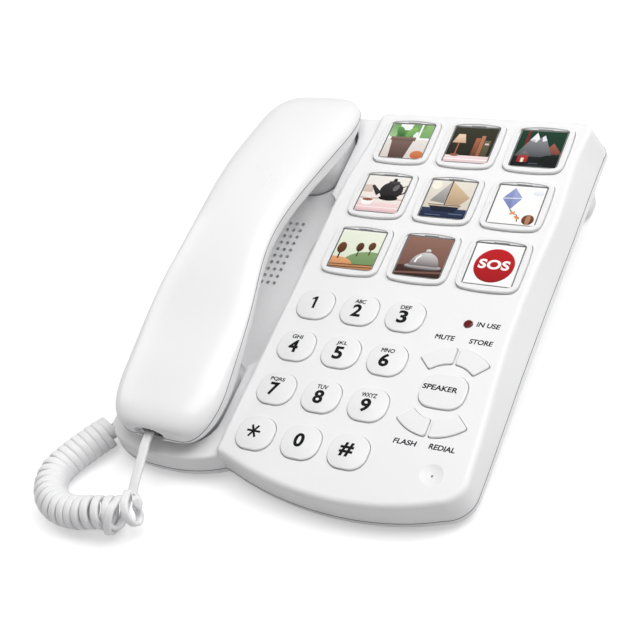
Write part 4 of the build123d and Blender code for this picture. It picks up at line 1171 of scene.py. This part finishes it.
def floor_finish():
    """A matt pale floor that a camera ray sees brighter, with the shadows kept."""
    finish = Finish("floor_pale")
    seen = finish.node("ShaderNodeLightPath", output="Is Camera Ray")
    place = finish.node("ShaderNodeTexCoord", output="Object")
    cloud = finish.noise(3.0, 2.0, place)
    matt = finish.node("ShaderNodeBsdfDiffuse", {}, {
        "Color": finish.blend(cloud, paint(226, 226, 227), paint(230, 230, 231)),
    })
    glow = finish.node("ShaderNodeEmission", {}, {"Color": pure_white, "Strength": 0.42})
    lit = finish.node("ShaderNodeAddShader", {}, {0: matt, 1: glow})
    open_white = finish.node("ShaderNodeEmission", {}, {"Color": pure_white, "Strength": 1.0})
    far = finish.node("ShaderNodeVectorMath", {"operation": "LENGTH"}, {0: place}, output="Value")
    fade = (far - fade_start) * fade_rate
    fading = finish.node("ShaderNodeMixShader", {}, {0: fade, 1: lit, 2: open_white})
    mixed = finish.node("ShaderNodeMixShader", {}, {0: seen, 1: matt, 2: fading})
    finish.node("ShaderNodeOutputMaterial", {}, {"Surface": mixed})
    return finish.material


floor_mesh = bpy.data.meshes.new("floor")
square = block(-floor_half, -floor_half, floor_half, floor_half)
floor_mesh.from_pydata([(x, y, -floor_drop) for x, y in square], [], [(0, 1, 2, 3)])
floor_mesh.materials.append(floor_finish())
floor = put("floor", floor_mesh)
print("floor:", 2 * floor_half, "m wide")

# %% World and lamps
sky = Finish("studio", bpy.data.worlds.new("studio"))
scene.world = sky.material
straight, through = (
    sky.node("ShaderNodeLightPath", output=ray) for ray in ("Is Camera Ray", "Is Transmission Ray")
)
studio = sky.node("ShaderNodeBackground", {}, {"Color": (1.0, 0.99, 0.98, 1.0), "Strength": 0.27})
backdrop = sky.node("ShaderNodeBackground", {}, {"Color": pure_white, "Strength": 1.0})
either = sky.node("ShaderNodeMixShader", {}, {
    0: straight.maths("MAXIMUM", straight, through), 1: studio, 2: backdrop,
})
sky.node("ShaderNodeOutputWorld", {}, {"Surface": either})


def lamp(name, place, size, power):
    """A square soft lamp that looks at the telephone."""
    data = bpy.data.lights.new(name, "AREA")
    data.shape = "SQUARE"
    data.size = size
    data.energy = power
    lit = put(name, data)
    lit.location = place
    lit.rotation_euler = (lamp_target - Vector(place)).to_track_quat("-Z", "Y").to_euler()


lamp_target = Vector((0.0, 0.0, 0.03))
lamp("lamp_right", (0.60, 0.25, 0.80), 0.6, 5.5)
lamp("lamp_above", (0.05, 0.10, 1.20), 0.8, 6.5)
lamp("lamp_left", (-0.90, 0.15, 0.55), 0.5, 1.6)
scene.view_settings.view_transform = "Standard"
